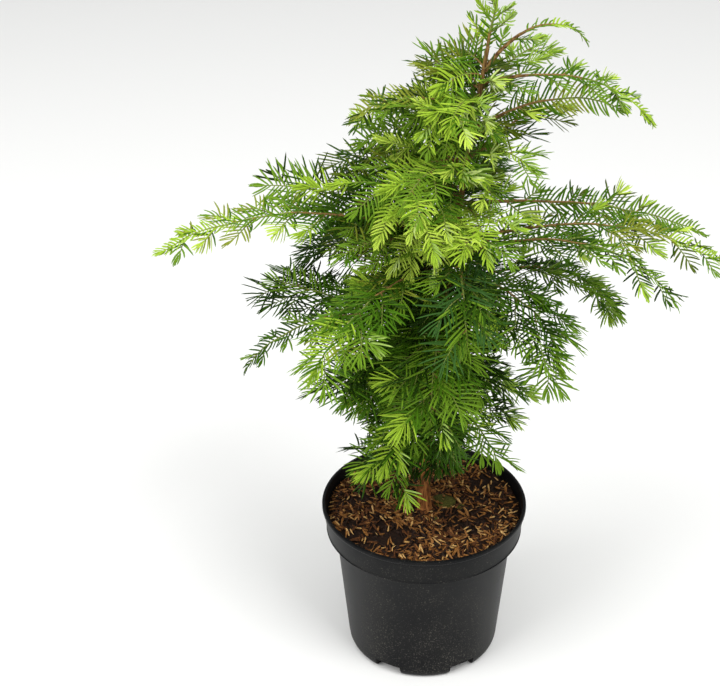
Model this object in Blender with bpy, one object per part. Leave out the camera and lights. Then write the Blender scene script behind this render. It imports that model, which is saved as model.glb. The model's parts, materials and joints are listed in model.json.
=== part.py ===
"""Young dawn redwood standing in its black nursery pot.

The origin is the middle of the pot's flat underside, +Z is up, -Y is the plant's front.
The pot, the compost, the trunk, every bough and every foliage mass is an object of its own.
Run with: blender --background --python part.py
"""

import math
import random
from typing import NamedTuple

import bmesh
import bpy
import numpy as np
from mathutils import Vector

MM = 0.001
UP = Vector((0, 0, 1))

# Meshes that touch keep this much air between them
CLEARANCE = 0.35 * MM

# Pot, moulded in one piece: a tapered wall under a wider rim band
POT_HEIGHT = 146 * MM
RIM_RADIUS = 89 * MM
BAND_HEIGHT = 26 * MM
BAND_FOOT_RADIUS = 85 * MM
WALL_TOP_RADIUS = 77.5 * MM
WALL = 1.8 * MM
FLOOR = 2.4 * MM
BAND_FOOT = POT_HEIGHT - BAND_HEIGHT
LIP_DEPTH = 3 * MM
LIP_WIDTH = 1.2 * MM
LIP_ROUND = 0.8 * MM
HEEL_RADIUS = 66.8 * MM
HEEL_HEIGHT = 8 * MM
FLAT_RADIUS = 62 * MM
HEEL_BULGE = 0.7
POT_SIDES = 42

# Six drain slots leave six feet under the wall, one of them at the front
FEET = 6
SLOT_HEIGHT = 10 * MM
SLOT_HALF_ANGLE = math.radians(11.5)
SLOT_INNER_RADIUS = 50 * MM

# Compost fills the pot to a little under the rim and lies in low lumps
SOIL_LEVEL = 136 * MM
SOIL_RADIUS = 84 * MM
SOIL_FIT = WALL + CLEARANCE
SOIL_LUMP = 1 * MM
SOIL_CALM = 15 * MM
SOIL_RINGS = 5
SOIL_SIDES = POT_SIDES // 2
SOIL_PAD_RADIUS = 10 * MM

# Trunk: flared foot, slender taper, leaning a little to the right
TRUNK_FOOT = SOIL_LEVEL + CLEARANCE
TRUNK_TIP = 562 * MM
TRUNK_FOOT_RADIUS = 4.7 * MM
TRUNK_TIP_RADIUS = 1.5 * MM
FLARE_RADIUS = 2.2 * MM
FLARE_HEIGHT = 9 * MM
FLARE_LOBES = 5
LOBE_DEPTH = 1.1 * MM
LEAN_START = 170 * MM
LEAN = 44 * MM
LEAN_POWER = 1.3
SWAY = 5 * MM
TRUNK_SIDES = 12
TRUNK_RINGS = 12

# The leader goes straight on from the trunk's tip
LEADER = 42 * MM
LEADER_CELLS = 6
LEADER_FOOT_RADIUS = 1.3 * MM
LEADER_NEEDLE = 15 * MM

# Boughs and twigs; the shares are of the stem's length, the angles in degrees
BOUGH_FOOT_RADIUS = 1.7 * MM
BOUGH_TIP_RADIUS = 1.2 * MM
BOUGH_SIDES = 5
BOUGH_RINGS = 4
PATH_STEPS = 60
SAG_POWER = 1.6
STEM_TIP_RADIUS = 0.6 * MM
TWIG_RADIUS = 0.95 * MM
TWIG_ROOT_RADIUS = 0.4 * MM
TWIG_SPACING = 27 * MM
FIRST_TWIG = 0.10
LAST_TWIG = 0.82
TWIG_ANGLE = 52
TWIG_SPREAD = 5
TWIG_FORWARD_BEND = 18
TWIG_DROOP = 0.39
TWIG_ROLL = 0.6
SHORTEST_TWIG = 16 * MM

# Needles, one pair to each cell of a twig
CELL = 7.4 * MM
NEEDLE_ANGLE = 62
NEEDLE_LIFT = 8
NEEDLE_HALF_THICK = 0.75 * MM
TWIG_NEEDLE = 0.82
BARE_FOOT = 5 * MM
BARE_BY_TRUNK = 13 * MM
BUD = 9 * MM

# Room kept round everything; a mass's own twigs may come a little closer to each other
SPACE_MARGIN = 0.45 * MM
OWN_SPACE = 0.75

# The first mass's seed; each mass has its own
SEED = 100

BARK = (0.160, 0.062, 0.028)
POT_BLACK = (0.012, 0.013, 0.014)
COMPOST_BROWN = (0.030, 0.018, 0.010)


class Bough(NamedTuple):
    """One limb and the foliage that it carries; lengths in mm, angles in degrees.

    azimuth 0 is the plant's right, 90 its back, 180 its left and 270 its front. rise and fall
    are the climb at the foot and at the tip, turn is how far it swings sideways, bare is the
    share of it that is a plain limb, reach its longest side twig, needle its longest needle,
    roll the tilt of its flat sprays and taper how much of their length its twigs and needles
    lose towards its tip.
    """

    name: str
    height: float
    azimuth: float
    length: float
    rise: float
    fall: float
    turn: float
    bare: float
    reach: float
    needle: float
    roll: float
    taper: float
    green: str


BOUGHS = (
    # Top of the crown
    Bough("top_curl", 546, 12, 98, 52, -62, 0, 0.38, 14, 12, -10, 0.3, "new"),
    Bough("top_right", 535, 2, 146, 10, -58, 0, 0.22, 32, 18, -15, 0.4, "new"),
    Bough("right_comb", 497, -6, 122, 32, -34, 6, 0.20, 14, 28, -52, 0.6, "mid"),
    Bough("top_left", 513, 182, 100, 18, -42, -4, 0, 32, 22, 15, 0.2, "dark"),
    Bough("crest_left", 530, 164, 50, 26, 0, 0, 0, 24, 22, 0, 0, "dark"),
    Bough("crest_front", 515, 248, 70, 38, -48, 0, 0, 32, 20, 0, 0, "new"),
    Bough("crest_back", 528, 44, 72, 26, 0, 0, 0, 32, 18, 0, 0, "new"),
    Bough("upper_front_right", 476, 316, 62, 28, -42, 8, 0, 34, 20, 0, 0, "new"),
    Bough("upper_front_left", 462, 236, 98, 30, -44, 0, 0, 42, 20, 0, 0, "new"),
    Bough("upper_right_back", 471, 40, 108, 22, -18, 6, 0.22, 40, 25, 0, 0.3, "dark"),
    Bough("upper_left_back", 437, 154, 104, 24, -14, 0, 0.20, 38, 27, 15, 0, "dark"),
    Bough("upper_back", 455, 108, 126, 28, -24, 0, 0, 46, 25, 0, 0, "mid"),
    # Middle of the crown
    Bough("front_tufts", 428, 282, 92, 28, -54, 0, 0, 42, 20, 0, 0, "new"),
    Bough("right_long", 431, 11, 216, -3, -31, 0, 0.26, 26, 25, -36, 0.5, "mid"),
    Bough("right_main", 397, -1, 240, 14, -45, 2, 0.26, 54, 24, -10, 0.55, "mid"),
    Bough("right_droop", 383, -17, 200, 27, -59, 0, 0.28, 42, 21, 0, 0.4, "mid"),
    Bough("left_feather", 388, 169, 164, 32, -8, 0, 0.22, 26, 34, 48, 0.15, "dark"),
    Bough("left_long", 399, 189, 242, 23, -31, 0, 0.24, 42, 26, 12, 0.5, "olive"),
    Bough("left_front", 391, 209, 114, 31, -24, 4, 0.22, 30, 22, 0, 0.3, "mid"),
    Bough("mid_back", 385, 84, 176, 20, -22, 0, 0.24, 56, 28, 0, 0, "dark"),
    Bough("mid_back_right", 356, 22, 190, 8, -74, 0, 0.24, 54, 26, 0, 0.4, "mid"),
    Bough("mid_back_left", 345, 126, 166, 14, -26, 0, 0.24, 56, 28, 0, 0, "dark"),
    Bough("front_blue", 396, 272, 126, 18, -84, 2, 0.20, 46, 30, 0, 0, "blue"),
    Bough("front_olive", 380, 228, 168, 10, -54, -6, 0.20, 40, 28, 0, 0, "olive"),
    # Lower crown, hanging towards the pot
    Bough("left_low_back", 302, 151, 160, 14, -4, 0, 0.22, 44, 29, 10, 0, "dark"),
    Bough("left_droop", 314, 192, 178, 28, -59, 2, 0.26, 28, 19, 10, 0.4, "mid"),
    Bough("right_low", 369, -37, 120, 9, -76, 4, 0.22, 54, 25, 0, 0, "mid"),
    Bough("front_fan", 338, 262, 128, 8, -76, 0, 0, 52, 30, 0, 0, "mid"),
    Bough("left_low", 300, 213, 110, 4, -20, 0, 0, 34, 28, 0, 0, "dark"),
    Bough("low_back", 288, 88, 140, 8, -44, 0, 0, 50, 28, 0, 0, "dark"),
    Bough("low_right", 258, 2, 76, -9, -56, -6, 0, 30, 22, 0, 0, "dark"),
    Bough("skirt_left", 276, 240, 102, -8, -66, 0, 0, 32, 25, 0, 0, "mid"),
    Bough("skirt_front", 264, 274, 72, -8, -49, 0, 0, 36, 25, 0, 0, "dark"),
    Bough("skirt_right", 262, 314, 86, -12, -64, 0, 0, 32, 24, 0, 0, "new"),
    Bough("skirt_back_right", 258, 42, 106, 0, -62, 0, 0, 40, 25, 0, 0, "mid"),
    Bough("skirt_back_left", 268, 136, 104, 0, -60, 0, 0, 36, 25, 0, 0, "mid"),
)

# The leader's side twigs follow the same rule; its stem is set by the LEADER sizes
LEADER_TWIGS = Bough("leader", 0, 0, LEADER / MM, 0, 0, 0, 0, 36, LEADER_NEEDLE / MM, 0, 0.45, "new")

GREENS = {
    "dark": (0.022, 0.085, 0.018),
    "blue": (0.025, 0.095, 0.050),
    "mid": (0.050, 0.150, 0.022),
    "olive": (0.110, 0.200, 0.030),
    "new": (0.210, 0.380, 0.040),
}


def material(name, colour, roughness):
    """A Principled material with one base colour (linear RGB)."""
    mat = bpy.data.materials.get(name)
    if mat is None:
        mat = bpy.data.materials.new(name)
        mat.use_nodes = True
        shader = mat.node_tree.nodes["Principled BSDF"]
        shader.inputs["Base Color"].default_value = (*colour, 1.0)
        shader.inputs["Roughness"].default_value = roughness
        shader.inputs["Metallic"].default_value = 0.0
    return mat


def new_object(name, bm, mat, smooth=None):
    """Turn a bmesh into a linked object; smooth is the sharpest angle that is shaded round."""
    mesh = bpy.data.meshes.new(name)
    bm.to_mesh(mesh)
    bm.free()
    mesh.materials.append(mat)
    if smooth is not None:
        mesh.shade_smooth()
        mesh.set_sharp_from_angle(angle=math.radians(smooth))
    obj = bpy.data.objects.new(name, mesh)
    bpy.context.scene.collection.objects.link(obj)
    return obj


def turned(profile, sides):
    """A bmesh turned about Z from a closed loop of (radius, height) points, run anticlockwise."""
    bm = bmesh.new()
    rings = []
    for radius, height in profile:
        if radius == 0:
            rings.append([bm.verts.new((0, 0, height))])
            continue
        angles = [2 * math.pi * k / sides for k in range(sides)]
        rings.append([bm.verts.new((radius * math.cos(a), radius * math.sin(a), height)) for a in angles])
    for lower, upper in zip(rings, rings[1:]):
        for k in range(sides):
            n = (k + 1) % sides
            if len(lower) == 1:
                bm.faces.new((lower[0], upper[n], upper[k]))
            elif len(upper) == 1:
                bm.faces.new((lower[k], lower[n], upper[0]))
            else:
                bm.faces.new((lower[k], lower[n], upper[n], upper[k]))
    bmesh.ops.recalc_face_normals(bm, faces=bm.faces)
    return bm


def tube(bm, centres, radii, frames, sides, lobes=None):
    """Rings round the centres, joined into a closed tube with flat ends."""
    rings = []
    for i, (centre, radius, (side, lift)) in enumerate(zip(centres, radii, frames)):
        ring = []
        for k in range(sides):
            angle = 2 * math.pi * k / sides
            r = radius if lobes is None else radius + lobes(i, angle)
            ring.append(bm.verts.new(centre + r * (math.cos(angle) * side + math.sin(angle) * lift)))
        rings.append(ring)
    for a, b in zip(rings, rings[1:]):
        for k in range(sides):
            n = (k + 1) % sides
            bm.faces.new((a[k], a[n], b[n], b[k]))
    bm.faces.new(list(reversed(rings[0])))
    bm.faces.new(rings[-1])
    bmesh.ops.recalc_face_normals(bm, faces=bm.faces)


def heading(azimuth, climb):
    """Unit vector from an azimuth and a climb in degrees."""
    a, e = math.radians(azimuth), math.radians(climb)
    return Vector((math.cos(a) * math.cos(e), math.sin(a) * math.cos(e), math.sin(e)))


def across(direction, roll=0.0):
    """Unit vector to the right of a direction, tilted by roll degrees about it."""
    side = direction.cross(UP)
    side.normalize()
    lift = side.cross(direction)
    r = math.radians(roll)
    return math.cos(r) * side + math.sin(r) * lift


# Trunk geometry, used by everything that grows on it

def trunk_centre(height):
    """Centre of the trunk at a height: upright at the foot, then leaning with a slight sway."""
    t = max(0.0, (height - LEAN_START) / (TRUNK_TIP - LEAN_START))
    return Vector((LEAN * t ** LEAN_POWER, SWAY * math.sin(math.pi * t), height))


def trunk_radius(height):
    """Radius of the trunk at a height, with the root flare at its foot."""
    t = (height - TRUNK_FOOT) / (TRUNK_TIP - TRUNK_FOOT)
    flare = FLARE_RADIUS * math.exp(-(height - TRUNK_FOOT) / FLARE_HEIGHT)
    return TRUNK_FOOT_RADIUS + (TRUNK_TIP_RADIUS - TRUNK_FOOT_RADIUS) * t + flare


def bough_path(bough, start, stop, steps):
    """Points of a bough's line from one share of its length to another."""
    height = bough.height * MM
    point = trunk_centre(height) + (trunk_radius(height) + CLEARANCE) * heading(bough.azimuth, 0)
    line = [point]
    for i in range(PATH_STEPS):
        t = (i + 0.5) / PATH_STEPS
        climb = bough.rise + (bough.fall - bough.rise) * t ** SAG_POWER
        point = point + heading(bough.azimuth + bough.turn * t, climb) * (bough.length * MM / PATH_STEPS)
        line.append(point)
    points = []
    for i in range(steps + 1):
        s = (start + (stop - start) * i / steps) * PATH_STEPS
        k = min(int(s), PATH_STEPS - 1)
        points.append(line[k].lerp(line[k + 1], s - k))
    return points


def directions(points):
    """Unit direction of a line at each of its points."""
    found = []
    for i in range(len(points)):
        step = points[min(i + 1, len(points) - 1)] - points[max(i - 1, 0)]
        found.append(step.normalized())
    return found


# What has been grown so far, as thick line pieces, so that nothing grows through another

class Occupied:
    """Thick line pieces with the mass and the twig that each belongs to."""

    def __init__(self):
        self.starts = np.zeros((0, 3))
        self.ends = np.zeros((0, 3))
        self.radii = np.zeros(0)
        self.masses = np.zeros(0, int)
        self.twigs = np.zeros(0, int)

    def add(self, pieces, mass, twig):
        """Remember pieces given as (start, end, radius)."""
        self.starts = np.vstack([self.starts, [p[0][:] for p in pieces]])
        self.ends = np.vstack([self.ends, [p[1][:] for p in pieces]])
        self.radii = np.append(self.radii, [p[2] for p in pieces])
        self.masses = np.append(self.masses, [mass] * len(pieces))
        self.twigs = np.append(self.twigs, [twig] * len(pieces))

    def is_free(self, pieces, mass, twig):
        """True where the pieces stay clear of all others; a twig's own pieces don't count."""
        for start, end, radius in pieces:
            room = self.radii + radius + SPACE_MARGIN
            room = np.where(self.masses == mass, room * OWN_SPACE, room)
            near = segment_gaps(np.array(start[:]), np.array(end[:]), self.starts, self.ends) < room
            if np.any(near & ((self.masses != mass) | (self.twigs != twig))):
                return False
        return True


def segment_gaps(p, q, starts, ends):
    """Shortest distance from the segment p-q to each of many segments."""
    d1, d2, r = q - p, ends - starts, p - starts
    a, e = d1 @ d1, np.einsum("ij,ij->i", d2, d2) + 1e-18
    b, c, f = d2 @ d1, r @ d1, np.einsum("ij,ij->i", d2, r)
    s = np.clip((b * f - c * e) / np.maximum(a * e - b * b, 1e-18), 0, 1)
    t = np.clip((b * s + f) / e, 0, 1)
    s = np.clip((b * t - c) / a, 0, 1)
    return np.linalg.norm(p + s[:, None] * d1 - (starts + t[:, None] * d2), axis=1)


class Shoot(NamedTuple):
    """A twig: its points, the radius at each, its frames, and the needle length in each cell."""

    points: list
    radii: list
    frames: list
    needles: list


def core_pieces(shoot, first=0):
    """The thick line pieces of a twig's core, from one of its points on."""
    ends = shoot.points[first:]
    return [(a, b, shoot.radii[first]) for a, b in zip(ends, ends[1:])]


def needle_tip(shoot, cell, hand):
    """Tip of the needle on the right (hand 1) or left (hand -1) of a cell."""
    a, b = shoot.points[cell], shoot.points[cell + 1]
    side, lift = shoot.frames[cell]
    forward = (b - a).normalized()
    angle, raised = math.radians(NEEDLE_ANGLE), math.radians(NEEDLE_LIFT)
    flat = math.cos(angle) * forward + math.sin(angle) * hand * side
    return (a + b) / 2 + shoot.needles[cell] * (math.cos(raised) * flat + math.sin(raised) * lift)


def needle_pieces(shoot, cell, hand):
    """Thick lines along both edges and the middle of a needle."""
    a, b = shoot.points[cell], shoot.points[cell + 1]
    tip = needle_tip(shoot, cell, hand)
    face = shoot.radii[cell] * hand * shoot.frames[cell][0]
    roots = (a + face, (a + b) / 2 + face, b + face)
    return [(root, tip, NEEDLE_HALF_THICK) for root in roots]


def frames_along(points, roll):
    """Side and lift vectors at each point of a twig."""
    found = []
    for direction in directions(points):
        side = across(direction, roll)
        found.append((side, side.cross(direction)))
    return found


def upright_foot(bough):
    """Frame for a foot that is cut upright, so that it lies along the trunk."""
    return across(heading(bough.azimuth, 0)), UP


def stem_shoot(bough):
    """The main stem of a bough's foliage mass, from the bare limb's end to the tip."""
    length = bough.length * MM * (1 - bough.bare)
    cells = round(length / CELL)
    gap = CLEARANCE / (bough.length * MM) if bough.bare else 0.0
    points = bough_path(bough, bough.bare + gap, 1.0, cells)
    radii = [BOUGH_TIP_RADIUS + (STEM_TIP_RADIUS - BOUGH_TIP_RADIUS) * i / cells for i in range(cells + 1)]
    foot = BARE_FOOT if bough.bare else BARE_BY_TRUNK
    needles = []
    for i in range(cells):
        # Longest along the middle of the stem, shortest at its growing tip
        swell = (0.62 + 0.38 * math.sin(math.pi * (i + 0.5) / cells)) * (1 - bough.taper * i / cells)
        needles.append(bough.needle * MM * swell if i * CELL >= foot else 0.0)
    frames = frames_along(points, bough.roll)
    if not bough.bare:
        frames[0] = upright_foot(bough)
    return Shoot(points, radii, frames, needles)


def side_shoots(bough, stem, rng):
    """Side twigs in two ranks, longest near the middle of the mass, bending forward and down."""
    cells = len(stem.points) - 1
    count = max(2, round(bough.length * MM * (1 - bough.bare) / TWIG_SPACING))
    hand = rng.choice((-1, 1))
    for k in range(count):
        hand = -hand
        t = FIRST_TWIG + (LAST_TWIG - FIRST_TWIG) * (k + rng.uniform(0.35, 0.65)) / count
        swell = 0.45 + 0.55 * math.sin(math.pi * (0.15 + 0.75 * t))
        taper = 1 - bough.taper * t
        size = bough.reach * MM * swell * taper * rng.uniform(0.85, 1.1)
        angle = TWIG_ANGLE + rng.uniform(-TWIG_SPREAD, TWIG_SPREAD)
        if size < SHORTEST_TWIG:
            continue
        cell = min(int(t * cells), cells - 2)
        forward = (stem.points[cell + 1] - stem.points[cell]).normalized()
        side = stem.frames[cell][0]
        point = (stem.points[cell] + stem.points[cell + 1]) / 2
        steps = round(size / CELL)
        points, radii, needles = [point], [TWIG_ROOT_RADIUS], []
        for i in range(steps):
            u = (i + 0.5) / steps
            turn = math.radians(angle - TWIG_FORWARD_BEND * u)
            course = math.cos(turn) * forward + math.sin(turn) * hand * side - TWIG_DROOP * u * UP
            point = point + course.normalized() * (size / steps)
            points.append(point)
            radii.append(TWIG_RADIUS + (STEM_TIP_RADIUS - TWIG_RADIUS) * i / steps)
            swell = 0.72 + 0.28 * math.sin(math.pi * i / steps)
            needles.append(bough.needle * MM * TWIG_NEEDLE * swell * taper if i else 0.0)
        yield cell, hand, Shoot(points, radii, frames_along(points, bough.roll * TWIG_ROLL), needles)


def add_shoot(bm, shoot, kept):
    """Build a twig: a three-sided core whose side faces are drawn out into needles.

    kept holds the (cell, hand) pairs that carry a needle. The core ends in a pointed bud.
    """
    rings = []
    for point, radius, (side, lift) in zip(shoot.points, shoot.radii, shoot.frames):
        corners = []
        for degrees in (90, 210, 330):
            a = math.radians(degrees)
            corners.append(bm.verts.new(point + radius * (math.cos(a) * side + math.sin(a) * lift)))
        rings.append(corners)
    for cell, (a, b) in enumerate(zip(rings, rings[1:])):
        for k, hand in ((0, -1), (1, 0), (2, 1)):
            n = (k + 1) % 3
            loop = (a[k], a[n], b[n], b[k])
            if (cell, hand) in kept:
                tip = bm.verts.new(needle_tip(shoot, cell, hand))
                for i in range(4):
                    bm.faces.new((loop[i], loop[(i + 1) % 4], tip))
            else:
                bm.faces.new(loop)
    last = rings[-1]
    bud = bm.verts.new(shoot.points[-1] + (shoot.points[-1] - shoot.points[-2]).normalized() * BUD)
    for k in range(3):
        bm.faces.new((last[k], last[(k + 1) % 3], bud))
    bm.faces.new(list(reversed(rings[0])))
    bmesh.ops.recalc_face_normals(bm, faces=bm.faces)


def join_twigs(stem, twigs):
    """One Boolean union of the stem with the collection of its twigs."""
    if not twigs:
        return
    group = bpy.data.collections.new(stem.name + "_twigs")
    for twig in twigs:
        bpy.context.scene.collection.objects.unlink(twig)
        group.objects.link(twig)
    bpy.context.scene.collection.children.link(group)
    union = stem.modifiers.new("join twigs", "BOOLEAN")
    union.operation = "UNION"
    union.operand_type = "COLLECTION"
    union.collection = group
    union.solver = "EXACT"
    graph = bpy.context.evaluated_depsgraph_get()
    joined = bpy.data.meshes.new_from_object(stem.evaluated_get(graph))
    stem.modifiers.remove(union)
    old = stem.data
    stem.data = joined
    bpy.data.meshes.remove(old)
    for twig in twigs:
        bpy.data.objects.remove(twig, do_unlink=True)
    bpy.data.collections.remove(group)
    tidy_mesh(joined)
    joined.name = stem.name


def tidy_mesh(mesh):
    """Weld what the union left in two, and drop any loose scrap."""
    bm = bmesh.new()
    bm.from_mesh(mesh)
    bmesh.ops.remove_doubles(bm, verts=bm.verts, dist=0.002 * MM)
    bmesh.ops.dissolve_degenerate(bm, edges=bm.edges, dist=0.002 * MM)
    islands = []
    left = set(bm.verts)
    while left:
        island, queue = set(), [next(iter(left))]
        while queue:
            vert = queue.pop()
            if vert in island:
                continue
            island.add(vert)
            queue.extend(edge.other_vert(vert) for edge in vert.link_edges)
        left -= island
        islands.append(island)
    islands.sort(key=len)
    for scrap in islands[:-1]:
        bmesh.ops.delete(bm, geom=list(scrap), context="VERTS")
    bmesh.ops.triangulate(bm, faces=bm.faces)
    bm.to_mesh(mesh)
    bm.free()


# The parts

def make_pot():
    """Black pot: turned shell, with six drain slots cut through the foot of its wall."""
    profile = (
        (0, 0),
        (FLAT_RADIUS, 0),
        (FLAT_RADIUS + HEEL_BULGE * (HEEL_RADIUS - FLAT_RADIUS), (1 - HEEL_BULGE) * HEEL_HEIGHT),
        (HEEL_RADIUS, HEEL_HEIGHT),
        (WALL_TOP_RADIUS, BAND_FOOT),
        (BAND_FOOT_RADIUS, BAND_FOOT + LIP_ROUND),
        (RIM_RADIUS - LIP_WIDTH, POT_HEIGHT - LIP_DEPTH - LIP_ROUND),
        (RIM_RADIUS, POT_HEIGHT - LIP_DEPTH),
        (RIM_RADIUS, POT_HEIGHT - LIP_ROUND),
        (RIM_RADIUS - LIP_ROUND, POT_HEIGHT),
        (RIM_RADIUS - LIP_WIDTH - WALL, POT_HEIGHT),
        (BAND_FOOT_RADIUS - WALL, BAND_FOOT + 2 * WALL),
        (WALL_TOP_RADIUS - WALL, BAND_FOOT + WALL),
        (HEEL_RADIUS - WALL, HEEL_HEIGHT),
        (FLAT_RADIUS - WALL, FLOOR),
        (0, FLOOR),
    )
    black = material("black moulded plastic", POT_BLACK, 0.5)
    pot = new_object("pot", turned(profile, POT_SIDES), black, smooth=30)
    bm = bmesh.new()
    for k in range(FEET):
        middle = 2 * math.pi * k / FEET
        corners = []
        for height in (-SLOT_HEIGHT, SLOT_HEIGHT):
            for radius in (SLOT_INNER_RADIUS, WALL_TOP_RADIUS):
                for edge in (-1, 1):
                    a = middle + edge * SLOT_HALF_ANGLE
                    corners.append(bm.verts.new((radius * math.cos(a), radius * math.sin(a), height)))
        for loop in ((0, 1, 3, 2), (4, 6, 7, 5), (0, 4, 5, 1), (2, 3, 7, 6), (0, 2, 6, 4), (1, 5, 7, 3)):
            bm.faces.new([corners[i] for i in loop])
    bmesh.ops.recalc_face_normals(bm, faces=bm.faces)
    cutter = new_object("slot_cutter", bm, black)
    cutter.hide_render = True
    cutter.display_type = "WIRE"
    slots = pot.modifiers.new("drain slots", "BOOLEAN")
    slots.operation = "DIFFERENCE"
    slots.object = cutter


def soil_height(x, y):
    """Low lumps in the compost's surface, with a flat pad under the trunk."""
    calm = min(1.0, max(0.0, (math.hypot(x, y) - SOIL_PAD_RADIUS) / SOIL_CALM))
    # Two crossing waves, one about 60 mm long and one about 40 mm long
    lumps = math.sin(x / (9 * MM) + 1.3) * math.cos(y / (11 * MM)) + 0.6 * math.sin((x - y) / (6 * MM))
    return SOIL_LEVEL + calm * SOIL_LUMP * (lumps - 0.6)


def make_compost():
    """Compost: one solid that fills the pot from its floor to just under the rim."""
    # Up the inside of the pot, stepping out with it under the rim band
    rims = [
        (FLAT_RADIUS - SOIL_FIT - WALL / 2, FLOOR + CLEARANCE),
        (HEEL_RADIUS - SOIL_FIT - WALL / 2, HEEL_HEIGHT + WALL / 2),
        (WALL_TOP_RADIUS - SOIL_FIT, BAND_FOOT + WALL),
        (BAND_FOOT_RADIUS - SOIL_FIT - WALL / 2, BAND_FOOT + 3 * WALL),
    ]
    for i in range(SOIL_RINGS):
        rims.append((SOIL_RADIUS + (SOIL_PAD_RADIUS - SOIL_RADIUS) * i / (SOIL_RINGS - 1), None))
    bm = bmesh.new()
    rings = []
    for radius, height in rims:
        ring = []
        for k in range(SOIL_SIDES):
            a = 2 * math.pi * k / SOIL_SIDES
            x, y = radius * math.cos(a), radius * math.sin(a)
            ring.append(bm.verts.new((x, y, soil_height(x, y) if height is None else height)))
        rings.append(ring)
    for lower, upper in zip(rings, rings[1:]):
        for k in range(SOIL_SIDES):
            n = (k + 1) % SOIL_SIDES
            bm.faces.new((lower[k], lower[n], upper[n], upper[k]))
    bm.faces.new(list(reversed(rings[0])))
    bm.faces.new(rings[-1])
    bmesh.ops.recalc_face_normals(bm, faces=bm.faces)
    bmesh.ops.triangulate(bm, faces=bm.faces)
    new_object("compost", bm, material("dark compost", COMPOST_BROWN, 0.95), smooth=40)


def make_trunk(occupied):
    """Trunk: one tapering stem from a flat cut on the compost to its tip."""
    heights = []
    for i in range(TRUNK_RINGS + 1):
        t = i / TRUNK_RINGS
        # The rings lie closer together in the flare
        heights.append(TRUNK_FOOT + (TRUNK_TIP - TRUNK_FOOT) * (0.12 * t + 0.88 * t ** 1.35))
    centres = [trunk_centre(h) for h in heights]
    radii = [trunk_radius(h) for h in heights]
    level = (Vector((1, 0, 0)), Vector((0, 1, 0)))

    def lobes(ring, angle):
        fade = math.exp(-(heights[ring] - TRUNK_FOOT) / FLARE_HEIGHT)
        return LOBE_DEPTH * fade * math.cos(FLARE_LOBES * angle)

    bm = bmesh.new()
    tube(bm, centres, radii, [level] * len(centres), TRUNK_SIDES, lobes)
    new_object("trunk", bm, material("red-brown bark", BARK, 0.9), smooth=50)
    occupied.add(list(zip(centres, centres[1:], radii)), mass=-1, twig=0)


def make_bough(bough, mass, occupied):
    """The bare limb of a bough, a little clear of the trunk, up to where its foliage starts."""
    points = bough_path(bough, 0.0, bough.bare, BOUGH_RINGS)
    taper = (BOUGH_TIP_RADIUS - BOUGH_FOOT_RADIUS) / BOUGH_RINGS
    radii = [BOUGH_FOOT_RADIUS + taper * i for i in range(BOUGH_RINGS + 1)]
    frames = frames_along(points, 0)
    frames[0] = upright_foot(bough)
    bm = bmesh.new()
    tube(bm, points, radii, frames, BOUGH_SIDES)
    new_object(bough.name + "_bough", bm, material("red-brown bark", BARK, 0.9), smooth=60)
    occupied.add(list(zip(points, points[1:], radii)), mass=mass, twig=-1)


def leader_shoot():
    """The leader: the trunk's own last growth, straight on from its tip."""
    tip = trunk_centre(TRUNK_TIP)
    axis = (tip - trunk_centre(TRUNK_TIP - LEADER)).normalized()
    foot = tip + CLEARANCE * UP
    points = [foot + axis * (LEADER * i / LEADER_CELLS) for i in range(LEADER_CELLS + 1)]
    taper = (STEM_TIP_RADIUS - LEADER_FOOT_RADIUS) / LEADER_CELLS
    radii = [LEADER_FOOT_RADIUS + taper * i for i in range(LEADER_CELLS + 1)]
    side = Vector((0.8, -0.6, 0))
    frames = [(side, side.cross(axis))] * (LEADER_CELLS + 1)
    # The foot is level, like the trunk's flat tip
    frames[0] = (side, side.cross(UP))
    return Shoot(points, radii, frames, [0.0] + [LEADER_NEEDLE] * (LEADER_CELLS - 1))


def plan_twigs(plan, occupied):
    """Each mass's stem and the side twigs that have room, with the cells that they leave from."""
    for mass, (bough, stem) in enumerate(plan):
        occupied.add(core_pieces(stem), mass, twig=0)
    grown = []
    for mass, (bough, stem) in enumerate(plan):
        shoots, taken = [stem], set()
        for cell, hand, shoot in side_shoots(bough, stem, random.Random(SEED + mass)):
            twig = len(shoots)
            if (cell, hand) not in taken and occupied.is_free(core_pieces(shoot, 1), mass, twig):
                occupied.add(core_pieces(shoot), mass, twig)
                shoots.append(shoot)
                taken.add((cell, hand))
        grown.append((bough, shoots, taken))
    return grown


def needles_with_room(shoot, mass, twig, taken, occupied):
    """The (cell, hand) pairs of a twig whose needle has room, which they then fill."""
    kept = set()
    for cell, length in enumerate(shoot.needles):
        for hand in (-1, 1):
            if length == 0 or (twig == 0 and (cell, hand) in taken):
                continue
            pieces = needle_pieces(shoot, cell, hand)
            if occupied.is_free(pieces, mass, twig):
                occupied.add(pieces, mass, twig)
                kept.add((cell, hand))
    return kept


def make_foliage(occupied):
    """All the foliage masses: stems first, then side twigs, then needles where there is room."""
    plan = [(LEADER_TWIGS, leader_shoot())]
    plan += [(bough, stem_shoot(bough)) for bough in BOUGHS]
    for mass, (bough, shoots, taken) in enumerate(plan_twigs(plan, occupied)):
        green = material("needles " + bough.green, GREENS[bough.green], 0.55)
        twigs = []
        for twig, shoot in enumerate(shoots):
            bm = bmesh.new()
            add_shoot(bm, shoot, needles_with_room(shoot, mass, twig, taken, occupied))
            name = bough.name + ("_foliage" if twig == 0 else "_twig_%d" % twig)
            twigs.append(new_object(name, bm, green))
        join_twigs(twigs[0], twigs[1:])


def main():
    for obj in list(bpy.data.objects):
        bpy.data.objects.remove(obj, do_unlink=True)
    occupied = Occupied()
    make_pot()
    make_compost()
    make_trunk(occupied)
    for number, bough in enumerate(BOUGHS):
        if bough.bare:
            make_bough(bough, number + 1, occupied)
    make_foliage(occupied)


main()
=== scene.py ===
import json
import math
import random
from typing import NamedTuple

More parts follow.
